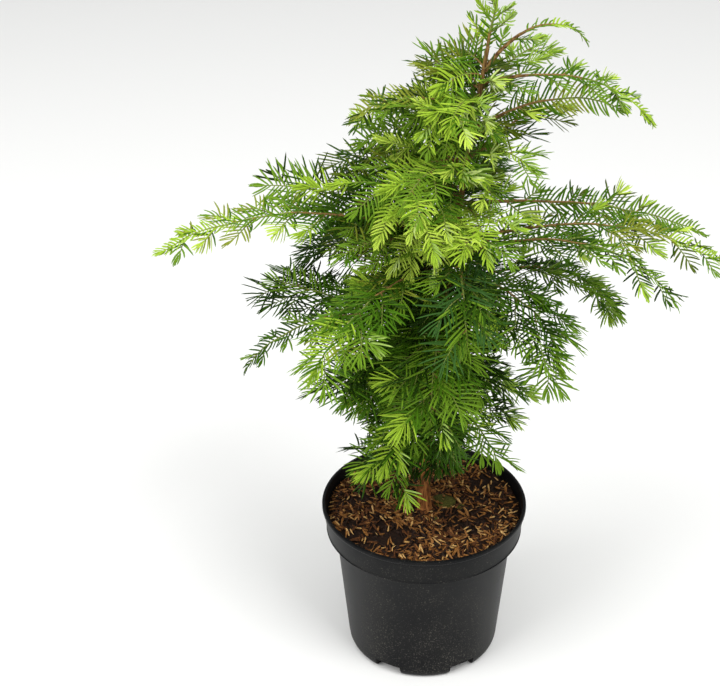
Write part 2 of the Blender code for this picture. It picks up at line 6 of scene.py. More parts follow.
import bmesh
import bpy
from bpy.props import FloatProperty, FloatVectorProperty, IntProperty, PointerProperty
from mathutils import Matrix, Vector, noise

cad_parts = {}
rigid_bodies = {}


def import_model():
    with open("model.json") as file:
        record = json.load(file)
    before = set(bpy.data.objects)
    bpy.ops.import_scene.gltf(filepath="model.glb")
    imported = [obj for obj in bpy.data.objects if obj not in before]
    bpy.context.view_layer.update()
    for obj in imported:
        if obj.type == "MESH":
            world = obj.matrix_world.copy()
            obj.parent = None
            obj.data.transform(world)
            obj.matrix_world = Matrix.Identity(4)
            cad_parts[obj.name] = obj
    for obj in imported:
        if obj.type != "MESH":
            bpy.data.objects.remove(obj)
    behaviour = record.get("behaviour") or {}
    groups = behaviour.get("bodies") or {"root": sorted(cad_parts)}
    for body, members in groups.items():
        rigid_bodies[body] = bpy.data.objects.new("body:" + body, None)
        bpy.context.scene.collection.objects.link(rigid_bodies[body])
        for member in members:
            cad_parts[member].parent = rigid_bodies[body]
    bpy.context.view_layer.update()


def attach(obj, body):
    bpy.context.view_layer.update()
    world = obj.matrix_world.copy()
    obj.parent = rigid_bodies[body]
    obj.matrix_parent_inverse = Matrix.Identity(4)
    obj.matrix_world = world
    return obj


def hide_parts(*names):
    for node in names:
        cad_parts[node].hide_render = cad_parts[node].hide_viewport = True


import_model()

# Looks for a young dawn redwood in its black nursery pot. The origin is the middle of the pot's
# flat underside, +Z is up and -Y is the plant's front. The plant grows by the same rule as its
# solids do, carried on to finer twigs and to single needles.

bl_info = {
    "name": "Potted dawn redwood",
    "version": (1, 0, 0),
    "blender": (4, 5, 0),
    "location": "3D View > Sidebar > Redwood",
    "description": "Makes a young dawn redwood in its nursery pot round the CAD solids",
    "category": "Add Mesh",
}

MM = 0.001
UP = Vector((0, 0, 1))

# Pot, the same driving sizes as the solid
POT_HEIGHT = 146 * MM
RIM_RADIUS = 89 * MM
BAND_FOOT = 120 * MM
BAND_FOOT_RADIUS = 85 * MM
WALL_TOP_RADIUS = 77.5 * MM
HEEL_RADIUS = 66.8 * MM
HEEL_HEIGHT = 8 * MM
FLAT_RADIUS = 62 * MM
WALL = 1.8 * MM
FLOOR = 2.4 * MM
LIP_DEPTH = 3 * MM
LIP_WIDTH = 1.2 * MM
FEET = 6
SLOT_HEIGHT = 10 * MM
SLOT_HALF_ANGLE = math.radians(11.5)
SLOT_INNER_RADIUS = 50 * MM

# Compost
SOIL_LEVEL = 136 * MM
SOIL_RADIUS = 84.3 * MM
SOIL_LUMP = 1 * MM
SOIL_CALM = 15 * MM
SOIL_PAD_RADIUS = 10 * MM
SOIL_RINGS = 56
SOIL_SIDES = 180
CRUMBS = 2600
CRUMB_SIZE = 2.4 * MM
# Where each cushion of moss lies on the compost, and its radius
MOSS = (
    (-13 * MM, 14 * MM, 8 * MM), (18 * MM, 11 * MM, 10 * MM), (-25 * MM, 11 * MM, 5 * MM),
    (33 * MM, 5 * MM, 5 * MM), (9 * MM, -15 * MM, 4 * MM),
)

# Trunk
TRUNK_FOOT = SOIL_LEVEL
TRUNK_TIP = 562 * MM
TRUNK_FOOT_RADIUS = 4.7 * MM
TRUNK_TIP_RADIUS = 1.5 * MM
FLARE_RADIUS = 2.2 * MM
FLARE_HEIGHT = 9 * MM
FLARE_LOBES = 5
LOBE_DEPTH = 1.1 * MM
LEAN_START = 170 * MM
LEAN = 44 * MM
LEAN_POWER = 1.3
SWAY = 5 * MM
FIBRE_REACH = 95 * MM
FOOT_BURIED = 1.5 * MM
BARK_RINGS = 420
BARK_SIDES = 40
LEADER = 42 * MM
LEADER_NEEDLE = 15 * MM

# Boughs and twigs; the shares are of the stem's length, the angles in degrees
BOUGH_FOOT_RADIUS = 1.7 * MM
BOUGH_TIP_RADIUS = 1.2 * MM
PATH_STEPS = 60
SAG_POWER = 1.6
TWIG_TIP_RADIUS = 0.4 * MM
TWIG_RADIUS = 0.8 * MM
FIRST_TWIG = 0.06
LAST_TWIG = 0.93
BARE_LIMB = 0.3
TWIG_ANGLE = 52
TWIG_SPREAD = 6
TWIG_FORWARD_BEND = 18
TWIG_DROOP = 0.39
TWIG_ROLL = 0.6
SHORTEST_TWIG = 11 * MM
SUBTWIG_NEEDLE = 0.85
LONG_TWIG = 36 * MM
LIMB_SIDES = 14
LIMB_STEP = 1.3 * MM
STEP = 2.6 * MM
SEED = 100

# Boughs at this height and lower have their twigs closer together, by this factor
LOW_BOUGHS = 385 * MM
LOW_SPACING = 0.8

# Shoots straight from the trunk: where they begin, the gaps between them in mm, the turn from one
# to the next, and the heights at which the right side stays bare
SHOOTS_FOOT = 196 * MM
SHOOT_GAP = (2.4, 4.0)
SHOOT_TURN = 137.5
BARE_RIGHT = (392 * MM, 430 * MM)

# Needles: their angle at a twig's tip, where the tip's own tone begins, how many points of a young
# tip make a tuft, and the bend and droop of each shape of needle, in widths
TIP_ANGLE = math.radians(12)
TIP_START = 0.62
TUFT = 6
NEEDLE_SHAPES = ((1.4, 0.5), (2.6, 1.0), (0.7, 0.1), (2.0, -0.4))

# Stage: the camera stands where the photograph was taken from, so that the plant fills the frame
# alike. Each lamp has its place, its width and its share of the lamp power.
FLOOR_RADIUS = 7.0
LENS = 86.47
CAMERA_PLACE = (-0.0543, -1.229, 1.036)
CAMERA_DOWN = math.radians(30.708)
CAMERA_ROLL = math.radians(-0.64)
LAMPS_AIM = Vector((0, 0, 0.3))
LAMPS = (
    ("overhead", (0.1, -0.2, 3.2), 3.2, 0.75),
    ("key", (1.5, -1.6, 2.6), 1.8, 0.8),
    ("fill", (-1.9, -1.2, 1.9), 1.8, 0.65),
)


def linear(code):
    """Linear RGB of an sRGB hex colour."""
    values = [int(code[i:i + 2], 16) / 255 for i in (1, 3, 5)]
    return tuple(v / 12.92 if v <= 0.04045 else ((v + 0.055) / 1.055) ** 2.4 for v in values)


def colour(name, description, code):
    """A colour property whose default is an sRGB hex colour."""
    return FloatVectorProperty(
        name=name, description=description, subtype="COLOR", size=3, min=0, max=1, default=linear(code)
    )


class Bough(NamedTuple):
    """One limb and the foliage that it carries; lengths in mm, angles in degrees.

    azimuth 0 is the plant's right, 90 its back, 180 its left and 270 its front. rise and fall
    are the climb at the foot and at the tip, turn is how far it swings sideways, bare is the
    share of it that is a plain limb, reach its longest side twig, needle its longest needle,
    roll the tilt of its flat sprays and taper how much of their length its twigs and needles
    lose towards its tip.
    """

    name: str
    height: float
    azimuth: float
    length: float
    rise: float
    fall: float
    turn: float
    bare: float
    reach: float
    needle: float
    roll: float
    taper: float
    green: str


BOUGHS = (
    # Top of the crown
    Bough("top_curl", 546, 12, 98, 52, -62, 0, 0.38, 14, 12, -10, 0.3, "new"),
    Bough("top_right", 535, 2, 146, 10, -58, 0, 0.22, 32, 18, -15, 0.4, "new"),
    Bough("right_comb", 497, -6, 122, 32, -34, 6, 0.20, 14, 28, -52, 0.6, "mid"),
    Bough("top_left", 513, 182, 100, 18, -42, -4, 0, 32, 22, 15, 0.2, "dark"),
    Bough("crest_left", 530, 164, 50, 26, 0, 0, 0, 24, 22, 0, 0, "dark"),
    Bough("crest_front", 515, 248, 70, 38, -48, 0, 0, 32, 20, 0, 0, "new"),
    Bough("crest_back", 528, 44, 72, 26, 0, 0, 0, 32, 18, 0, 0, "new"),
    Bough("upper_front_right", 476, 316, 62, 28, -42, 8, 0, 34, 20, 0, 0, "new"),
    Bough("upper_front_left", 462, 236, 98, 30, -44, 0, 0, 42, 20, 0, 0, "new"),
    Bough("upper_right_back", 471, 40, 108, 22, -18, 6, 0.22, 40, 25, 0, 0.3, "dark"),
    Bough("upper_left_back", 437, 154, 104, 24, -14, 0, 0.20, 38, 27, 15, 0, "dark"),
    Bough("upper_back", 455, 108, 126, 28, -24, 0, 0, 46, 25, 0, 0, "mid"),
    # Middle of the crown
    Bough("front_tufts", 428, 282, 92, 28, -54, 0, 0, 42, 20, 0, 0, "new"),
    Bough("right_long", 431, 11, 216, -3, -31, 0, 0.26, 26, 25, -36, 0.5, "mid"),
    Bough("right_main", 397, -1, 240, 14, -45, 2, 0.26, 54, 24, -10, 0.55, "mid"),
    Bough("right_droop", 383, -17, 200, 27, -59, 0, 0.28, 42, 21, 0, 0.4, "mid"),
    Bough("left_feather", 388, 169, 164, 32, -8, 0, 0.22, 26, 34, 48, 0.15, "dark"),
    Bough("left_long", 399, 189, 242, 23, -31, 0, 0.24, 42, 26, 12, 0.5, "olive"),
    Bough("left_front", 391, 209, 114, 31, -24, 4, 0.22, 30, 22, 0, 0.3, "mid"),
    Bough("mid_back", 385, 84, 176, 20, -22, 0, 0.24, 56, 28, 0, 0, "dark"),
    Bough("mid_back_right", 356, 22, 190, 8, -74, 0, 0.24, 54, 26, 0, 0.4, "mid"),
    Bough("mid_back_left", 345, 126, 166, 14, -26, 0, 0.24, 56, 28, 0, 0, "dark"),
    Bough("front_blue", 396, 272, 126, 18, -84, 2, 0.20, 46, 30, 0, 0, "blue"),
    Bough("front_olive", 380, 228, 168, 10, -54, -6, 0.20, 40, 28, 0, 0, "olive"),
    # Lower crown, hanging towards the pot
    Bough("left_low_back", 302, 151, 160, 14, -4, 0, 0.22, 44, 29, 10, 0, "dark"),
    Bough("left_droop", 314, 192, 178, 28, -59, 2, 0.26, 28, 19, 10, 0.4, "mid"),
    Bough("right_low", 369, -37, 120, 9, -76, 4, 0.22, 54, 25, 0, 0, "mid"),
    Bough("front_fan", 338, 262, 128, 8, -76, 0, 0, 52, 30, 0, 0, "mid"),
    Bough("left_low", 300, 213, 110, 4, -20, 0, 0, 34, 28, 0, 0, "dark"),
    Bough("low_back", 288, 88, 140, 8, -44, 0, 0, 50, 28, 0, 0, "dark"),
    Bough("low_right", 258, 2, 76, -9, -56, -6, 0, 30, 22, 0, 0, "dark"),
    Bough("skirt_left", 276, 240, 102, -8, -66, 0, 0, 32, 25, 0, 0, "mid"),
    Bough("skirt_front", 264, 274, 72, -8, -49, 0, 0, 36, 25, 0, 0, "dark"),
    Bough("skirt_right", 262, 314, 86, -12, -64, 0, 0, 32, 24, 0, 0, "new"),
    Bough("skirt_back_right", 258, 42, 106, 0, -62, 0, 0, 40, 25, 0, 0, "mid"),
    Bough("skirt_back_left", 268, 136, 104, 0, -60, 0, 0, 36, 25, 0, 0, "mid"),
)

# The leader's side twigs follow the same rule; its stem is set by the LEADER sizes
LEADER_TWIGS = Bough("leader", 0, 0, LEADER / MM, 0, 0, 0, 0, 36, LEADER_NEEDLE / MM, 0, 0.45, "new")

# Each tone of needle: its record slot, how young it is from 0 to 1, its top and its underside,
# which is paler and less glossy
TONES = {
    "deep": ("needles_dark", 0.0, "#1c3205", "#374c20"),
    "dark": ("needles_dark", 0.0, "#2e4b0b", "#46612e"),
    "sunned": ("needles_dark", 0.1, "#48580f", "#5f6d36"),
    "blue": ("needles_blue", 0.0, "#30511f", "#4f6a48"),
    "mid": ("needles_mid", 0.15, "#3f640f", "#557334"),
    "leaf": ("needles_mid", 0.3, "#5f801e", "#6e8a45"),
    "olive": ("needles_olive", 0.3, "#768128", "#848e52"),
    "lime": ("needles_new", 0.9, "#8dab30", "#98b45a"),
    "fresh": ("needles_new", 1.0, "#aec64a", "#b6c878"),
}

# The tone of a twig's oldest needles, the share nearest its foot: partly their darker green, partly painted
# shade
OLDER_AND_SHADED = {
    "deep": "deep", "dark": "deep", "sunned": "dark", "blue": "dark", "mid": "dark", "leaf": "mid",
    "olive": "mid", "lime": "leaf", "fresh": "lime",
}
OLD_AND_SHADED_SHARE = 0.4

# The tones that each green of the source is dealt in, with their shares, and the share of its
# twigs that end in young growth. A row named high or top holds above that height: the sun turns
# dark and mid greens to olive there, and the young growth at the top is of a deeper green.
DEALS = {
    "dark": ((("dark", 0.52), ("deep", 0.28), ("mid", 0.20)), 0.25),
    "high dark": ((("sunned", 0.50), ("dark", 0.36), ("olive", 0.14)), 0.18),
    "blue": ((("blue", 0.62), ("dark", 0.20), ("deep", 0.18)), 0.10),
    "mid": ((("mid", 0.50), ("dark", 0.28), ("leaf", 0.22)), 0.42),
    "high mid": ((("leaf", 0.34), ("sunned", 0.44), ("olive", 0.22)), 0.50),
    "olive": ((("olive", 0.46), ("leaf", 0.34), ("mid", 0.20)), 0.55),
    "new": ((("lime", 0.38), ("fresh", 0.16), ("leaf", 0.30), ("mid", 0.16)), 0.75),
    "top new": ((("leaf", 0.52), ("lime", 0.22), ("mid", 0.26)), 0.65),
}
HIGH = 396.5 * MM
TOP = 500 * MM


class PotSettings(bpy.types.PropertyGroup):
    sides: IntProperty(name="Sides", description="Facets round the pot", default=144, min=24)
    plastic: colour("Plastic", "Black moulded plastic", "#0b0c0e")
    dust: colour("Dust", "Dry dust and splashes on the plastic", "#68655d")


class CompostSettings(bpy.types.PropertyGroup):
    chips: IntProperty(name="Chips", description="Splinters of bark on the surface", default=3700, min=0)
    chip_length: FloatProperty(
        name="Chip length", description="Length of a middling splinter", default=8.5 * MM, unit="LENGTH"
    )
    peat: colour("Peat", "Damp peat between the chips", "#140c07")
    tan: colour("Tan chips", "Dry splinters of bark", "#94652f")
    straw: colour("Straw chips", "Bleached splinters of wood", "#c8a468")
    rust: colour("Rust chips", "Red-brown splinters of bark", "#5f3818")
    brown: colour("Brown chips", "Damp splinters of bark", "#2c180b")
    moss: colour("Moss", "Moss on the compost", "#55541f")


class BarkSettings(bpy.types.PropertyGroup):
    relief: FloatProperty(
        name="Relief", description="Depth of the bark's fibres", default=0.55 * MM, unit="LENGTH"
    )
    fibres: IntProperty(
        name="Loose fibres", description="Strips that peel off the lower trunk", default=150, min=1
    )
    ridge: colour("Ridges", "Dry red-brown fibres", "#bb7a42")
    groove: colour("Grooves", "Dark ground between the fibres", "#402311")
    young: colour("Young bark", "Thin bark near the top", "#86693a")


class FoliageSettings(bpy.types.PropertyGroup):
    needle_width: FloatProperty(
        name="Needle width", description="Width of an old needle", default=1.65 * MM, unit="LENGTH"
    )
    needle_pitch: FloatProperty(
        name="Needle pitch", description="Distance between needles on one side",
        default=3.5 * MM, unit="LENGTH",
    )
    needle_angle: FloatProperty(
        name="Needle angle", description="Angle from the twig", default=math.radians(62), subtype="ANGLE"
    )
    twig_spacing: FloatProperty(
        name="Twig spacing", description="Distance between side twigs", default=17 * MM, unit="LENGTH"
    )
    twig: colour("Twigs", "Brown wood of the older twigs", "#8a6c3c")
    shoot: colour("Shoots", "Green bark of the young twigs", "#7c8b3c")


class StageSettings(bpy.types.PropertyGroup):
    floor: colour("Floor", "Plain pale floor", "#e6e6e4")
    lamp: FloatProperty(
        name="Lamp power", description="Power that each lamp takes a share of", default=84, unit="POWER"
    )
    sky: FloatProperty(name="Surround", description="Strength of the white surround", default=0.42)


# Nodes and objects

def node(tree, kind, values=None, **settings):
    """Add a node; values fill or link its inputs by name or number, settings set its own choices."""
    new = tree.nodes.new(kind)
    for key, value in settings.items():
        setattr(new, key, value)
    for key, value in (values or {}).items():
        if isinstance(value, bpy.types.NodeSocket):
            tree.links.new(value, new.inputs[key])
        else:
            new.inputs[key].default_value = value
    return new


def finish_named(name, base, roughness, **sockets):
    """A Principled material with plain values, and its tree and shader for more nodes."""
    made = bpy.data.materials.new(name)
    made.use_nodes = True
    shader = made.node_tree.nodes["Principled BSDF"]
    shader.inputs["Base Color"].default_value = (*base, 1.0)
    shader.inputs["Roughness"].default_value = roughness
    for key, value in sockets.items():
        shader.inputs[key.replace("_", " ")].default_value = value
    return made, made.node_tree, shader


def new_object(name, mesh):
    """A linked object for a mesh, at the origin."""
    made = bpy.data.objects.new(name, mesh)
    bpy.context.scene.collection.objects.link(made)
    return made


def new_mesh(name, bm, smooth=None):
    """A mesh from a bmesh; smooth is the sharpest angle in degrees that is shaded round."""
    mesh = bpy.data.meshes.new(name)
    bm.to_mesh(mesh)
    bm.free()
    if smooth is not None:
        mesh.shade_smooth()
        mesh.set_sharp_from_angle(angle=math.radians(smooth))
    return mesh


def place(piece, slot, *nodes):
    """Put a finished piece on the plant's body, in place of its CAD nodes; slot is not used."""
    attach(piece, "root")
    if nodes:
        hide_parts(*nodes)


def bridge(bm, lower, upper):
    """Add the quads between two rings that have equally many vertices."""
    for k in range(len(lower)):
        n = (k + 1) % len(lower)
        bm.faces.new((lower[k], lower[n], upper[n], upper[k]))


def geometry_tree(name, inputs):
    """A Geometry Nodes tree with named inputs; inputs maps each name to its kind of socket."""
    tree = bpy.data.node_groups.new(name, "GeometryNodeTree")
    tree.interface.new_socket("Geometry", in_out="INPUT", socket_type="NodeSocketGeometry")
    for label, kind in inputs.items():
        tree.interface.new_socket(label, in_out="INPUT", socket_type="NodeSocket" + kind)
    tree.interface.new_socket("Geometry", in_out="OUTPUT", socket_type="NodeSocketGeometry")
    return tree, node(tree, "NodeGroupInput").outputs


def grown(name, mesh, tree, values):
    """Run a geometry tree on a mesh, with its inputs, and return the plain object it makes."""
    source = new_object(name, mesh)
    modifier = source.modifiers.new(tree.name, "NODES")
    modifier.node_group = tree
    for item in tree.interface.items_tree:
        if item.in_out == "INPUT" and item.name in values:
            modifier[item.identifier] = values[item.name]
    graph = bpy.context.evaluated_depsgraph_get()
    result = bpy.data.meshes.new_from_object(source.evaluated_get(graph), depsgraph=graph)
    bpy.data.objects.remove(source, do_unlink=True)
    bpy.data.meshes.remove(mesh)
    result.name = name
    if result.materials[0] is None:
        result.materials.pop(index=0)
    return new_object(name, result)


def kit(name, meshes):
    """A hidden collection of small meshes for a geometry tree to pick from, in order of name."""
    group = bpy.data.collections.new(name)
    for mesh in meshes:
        group.objects.link(bpy.data.objects.new(mesh.name, mesh))
    return group


def drop_kit(group):
    """Remove a kit once what it made is plain mesh."""
    for item in list(group.objects):
        bpy.data.objects.remove(item, do_unlink=True)
    bpy.data.collections.remove(group)


# The growth rule, the same as the solids'

def heading(azimuth, climb):
    """Unit vector from an azimuth and a climb in degrees."""
    a, e = math.radians(azimuth), math.radians(climb)
    return Vector((math.cos(a) * math.cos(e), math.sin(a) * math.cos(e), math.sin(e)))


def across(direction, roll=0.0):
    """Unit vector to the right of a direction, tilted by roll degrees about it."""
    side = direction.cross(UP)
    side.normalize()
    lift = side.cross(direction)
    r = math.radians(roll)
    return math.cos(r) * side + math.sin(r) * lift


def trunk_centre(height):
    """Centre of the trunk at a height: upright at the foot, then leaning with a slight sway."""
    t = max(0.0, (height - LEAN_START) / (TRUNK_TIP - LEAN_START))
    return Vector((LEAN * t ** LEAN_POWER, SWAY * math.sin(math.pi * t), height))


def trunk_radius(height):
    """Radius of the trunk at a height, with the root flare at its foot."""
    t = (height - TRUNK_FOOT) / (TRUNK_TIP - TRUNK_FOOT)
    flare = FLARE_RADIUS * math.exp(-(height - TRUNK_FOOT) / FLARE_HEIGHT)
    return TRUNK_FOOT_RADIUS + (TRUNK_TIP_RADIUS - TRUNK_FOOT_RADIUS) * t + flare


def bough_path(bough, start, stop, steps):
    """Points of a bough's line from one share of its length to another."""
    height = bough.height * MM
    point = trunk_centre(height) + trunk_radius(height) * heading(bough.azimuth, 0)
    line = [point]
    for i in range(PATH_STEPS):
        t = (i + 0.5) / PATH_STEPS
        climb = bough.rise + (bough.fall - bough.rise) * t ** SAG_POWER
        point = point + heading(bough.azimuth + bough.turn * t, climb) * (bough.length * MM / PATH_STEPS)
        line.append(point)
    points = []
    for i in range(steps + 1):
        s = (start + (stop - start) * i / steps) * PATH_STEPS
        k = min(int(s), PATH_STEPS - 1)
        points.append(line[k].lerp(line[k + 1], s - k))
    return points


def frames_along(points, roll):
    """Side and lift vectors at each point of a twig."""
    found = []
    for i in range(len(points)):
        direction = (points[min(i + 1, len(points) - 1)] - points[max(i - 1, 0)]).normalized()
        side = across(direction, roll)
        found.append((side, side.cross(direction)))
    return found


class Twig(NamedTuple):
    """A shoot of any order, with the length of needle that it bears and its tones."""

    points: list
    frames: list
    radii: list
    needle: float
    tone: str
    tip_tone: str
    woody: float
    taper: float = 0.0


def wander(points, reach, scale=22 * MM):
    """Let a line stray a little from its rule, the more the further it is from its foot."""
    # Without a seed the vector noise would differ from one run to the next
    noise.seed_set(SEED)
    strayed = []
    for i, point in enumerate(points):
        share = min(1.0, 3 * i / len(points))
        strayed.append(point + share * reach * noise.noise_vector(point / scale))
    return strayed


def main_stem(bough, deal):
    """The stem that carries a bough's foliage, from the bare limb's end to the tip."""
    steps = max(8, round(bough.length * MM * (1 - bough.bare) / STEP))
    points = wander(bough_path(bough, bough.bare, 1.0, steps), 1.6 * MM)
    radii = [BOUGH_TIP_RADIUS + (TWIG_TIP_RADIUS - BOUGH_TIP_RADIUS) * i / steps for i in range(steps + 1)]
    tone, tip_tone = deal()
    return Twig(
        points, frames_along(points, bough.roll), radii, bough.needle * MM, tone, tip_tone, 0.4, bough.taper
    )


def leader_stem(bough, deal):
    """The leader, straight on from the trunk's tip."""
    tip = trunk_centre(TRUNK_TIP)
    axis = (tip - trunk_centre(TRUNK_TIP - LEADER)).normalized()
    steps = round(LEADER / STEP)
    points = wander([tip + axis * (LEADER * i / steps) for i in range(steps + 1)], 1 * MM)
    radii = [TRUNK_TIP_RADIUS + (TWIG_TIP_RADIUS - TRUNK_TIP_RADIUS) * i / steps for i in range(steps + 1)]
    side = Vector((0.8, -0.6, 0))
    frames = [(side, side.cross(axis))] * (steps + 1)
    tone, tip_tone = deal()
    return Twig(points, frames, radii, LEADER_NEEDLE, tone, tip_tone, 0.3, bough.taper)


def side_twig(parent, i, hand, size, angle, roll, needle, tones, rng):
    """A twig that leaves its parent at point i to the right (1) or left (-1).

    It bends forward and down; young growth droops less.
    """
    forward = (parent.points[i + 1] - parent.points[i]).normalized()
    side, lift = parent.frames[i]
    steps = max(3, round(size / STEP))
    rise = rng.uniform(-0.16, 0.16)
    droop = TWIG_DROOP * (1 - 0.6 * TONES[tones[1]][1])
    point = parent.points[i]
    points = [point]
    for k in range(steps):
        u = (k + 0.5) / steps
        turn = math.radians(angle - TWIG_FORWARD_BEND * u)
        course = math.cos(turn) * forward + math.sin(turn) * hand * side + rise * lift - droop * u * UP
        point = point + course.normalized() * (size / steps)
        points.append(point)
    points = wander(points, 1.2 * MM, 15 * MM)
    thick = min(TWIG_RADIUS, 0.8 * parent.radii[i])
    radii = [thick + (TWIG_TIP_RADIUS - thick) * k / steps for k in range(steps + 1)]
    return Twig(points, frames_along(points, roll), radii, needle, *tones, 0.12)


def side_twigs(parent, spacing, reach, roll, needle, first, last, deal, rng):
    """Side twigs in two ranks along a parent, longest near its middle."""
    steps = len(parent.points) - 1
    length = sum((b - a).length for a, b in zip(parent.points, parent.points[1:]))
    count = max(1, round(length / spacing))
    hand = rng.choice((-1, 1))
    found = []
    for k in range(count):
        hand = -hand
        t = first + (last - first) * (k + rng.uniform(0.3, 0.7)) / count
        swell = (0.45 + 0.55 * math.sin(math.pi * (0.15 + 0.75 * t))) * (1 - parent.taper * t)
        size = reach * swell * rng.uniform(0.7, 1.08)
        angle = TWIG_ANGLE + rng.uniform(-TWIG_SPREAD, TWIG_SPREAD)
        if size > SHORTEST_TWIG:
            i = min(int(t * steps), steps - 1)
            short = needle * (1 - parent.taper * t)
            found.append(side_twig(parent, i, hand, size, angle, roll, short, deal(), rng))
    return found


def dealer(green, height, rng):
    """Deals (tone, tip tone) to one spray after another, in the shares for a green at a height."""
    rows = [green]
    if height > HIGH:
        rows.insert(0, "high " + green)
    if height > TOP:
        rows.insert(0, "top " + green)
    shares, young = next(DEALS[row] for row in rows if row in DEALS)

    def deal():
        tone = rng.choices([t for t, _ in shares], [w for _, w in shares])[0]
        tips = ("lime", "fresh", "leaf") if height > HIGH else ("lime", "leaf", "leaf")
        tip = rng.choice(tips) if rng.random() < young else tone
        return tone, tip

    return deal


def with_side_twigs(stem, spacing, reach, roll, needle, first, last, deal, rng):
    """A stem's side twigs, and theirs where they are long."""
    found = []
    for side in side_twigs(stem, spacing, reach, roll, needle, first, last, deal, rng):
        found.append(side)
        length = (side.points[-1] - side.points[0]).length
        if length > LONG_TWIG:
            found += side_twigs(
                side, spacing * 1.25, length * 0.52, roll, needle * SUBTWIG_NEEDLE, 0.15, 0.7,
                lambda: (side.tone, deal()[1]), rng,
            )
    return found


def grow_mass(bough, stem, spacing, rng):
    """All the twigs of one mass: the stem with its side twigs."""
    roll, needle = bough.roll * TWIG_ROLL, bough.needle * MM
    deal = dealer(bough.green, bough.height * MM, rng)
    reach = bough.reach * MM
    return [stem] + with_side_twigs(stem, spacing, reach, roll, needle, FIRST_TWIG, LAST_TWIG, deal, rng)


def limb_shoots(bough, spacing, rng):
    """Twigs on a bare limb, from a little way out, which hide most of its wood."""
    steps = round(bough.length * MM * bough.bare / STEP)
    points = bough_path(bough, 0.0, bough.bare, steps)
    limb = Twig(points, frames_along(points, bough.roll), [BOUGH_TIP_RADIUS] * (steps + 1), 0, "", "", 1)
    deal = dealer(bough.green, bough.height * MM, rng)
    roll, needle = bough.roll * TWIG_ROLL, 0.9 * bough.needle * MM
    reach = max(30 * MM, 0.8 * bough.reach * MM)
    return side_twigs(limb, spacing, reach, roll, needle, BARE_LIMB, 1.0, deal, rng)


def trunk_shoots(rng):
    """Shoots straight from the trunk, which fill the middle of the crown.

    They are longest on the left, where the crown is full, and short high on the right, where it
    is open. Those at the front of the upper crown are young growth.
    """
    found = []
    height, azimuth = SHOOTS_FOOT, 40.0
    while height < TRUNK_TIP - 12 * MM:
        left = 0.5 - 0.5 * math.cos(math.radians(azimuth))
        front = 0.5 - 0.5 * math.sin(math.radians(azimuth))
        high = max(0.0, (height - 400 * MM) / (TRUNK_TIP - 400 * MM))
        full = max(0.0, 1 - abs(height - 455 * MM) / (65 * MM))
        low = max(0.0, 1 - abs(height - 320 * MM) / (75 * MM))
        size = (30 + 34 * left + 75 * left * full + 36 * low) * (1 - 0.35 * high)
        length = size * rng.uniform(0.85, 1.1) * MM
        climb = rng.uniform(0, 25) + 30 * high
        if left > 0.25 or not BARE_RIGHT[0] < height < BARE_RIGHT[1]:
            steps = round(length / STEP)
            points = [trunk_centre(height)]
            for k in range(steps):
                points.append(points[-1] + heading(azimuth, climb - 60 * k / steps) * (length / steps))
            points = wander(points, 1.5 * MM)
            radii = [TWIG_RADIUS + (TWIG_TIP_RADIUS - TWIG_RADIUS) * k / steps for k in range(steps + 1)]
            young = front > 0.6 and height > HIGH
            # Other shoots get mostly dark greens: partly older needles, partly painted shade for the crown's
            # dark middle
            deal = dealer("new" if young else rng.choice(("dark", "dark", "mid")), height, rng)
            needle = rng.uniform(16, 20) * MM if young else rng.uniform(22, 29) * MM
            # High on the left the sprays stand on edge, like combs
            roll = rng.uniform(-35, 35) + 50 * left * (height > HIGH)
            shoot = Twig(points, frames_along(points, roll), radii, needle, *deal(), 0.25)
            found.append(shoot)
            found += side_twigs(shoot, 19 * MM, 0.5 * length, 0, 0.9 * needle, 0.25, 0.85, deal, rng)
        height += rng.uniform(*SHOOT_GAP) * MM
        azimuth = (azimuth + SHOOT_TURN) % 360
    return found


class Lines:
    """Polylines with a few numbers at each point, gathered into one mesh for a geometry tree."""

    def __init__(self, *fields):
        self.verts, self.edges = [], []
        self.fields = {field: [] for field in fields}

    def add(self, points, **values):
        start = len(self.verts)
        self.verts += points
        self.edges += [(start + i, start + i + 1) for i in range(len(points) - 1)]
        for field, numbers in values.items():
            self.fields[field] += numbers

    def mesh(self, name):
        made = bpy.data.meshes.new(name)
        made.from_pydata([tuple(v) for v in self.verts], self.edges, [])
        for field, numbers in self.fields.items():
            vectors = isinstance(numbers[0], Vector)
            layer = made.attributes.new(field, "FLOAT_VECTOR" if vectors else "FLOAT", "POINT")
            flat = [x for v in numbers for x in v] if vectors else numbers
            layer.data.foreach_set("vector" if vectors else "value", flat)
        return made


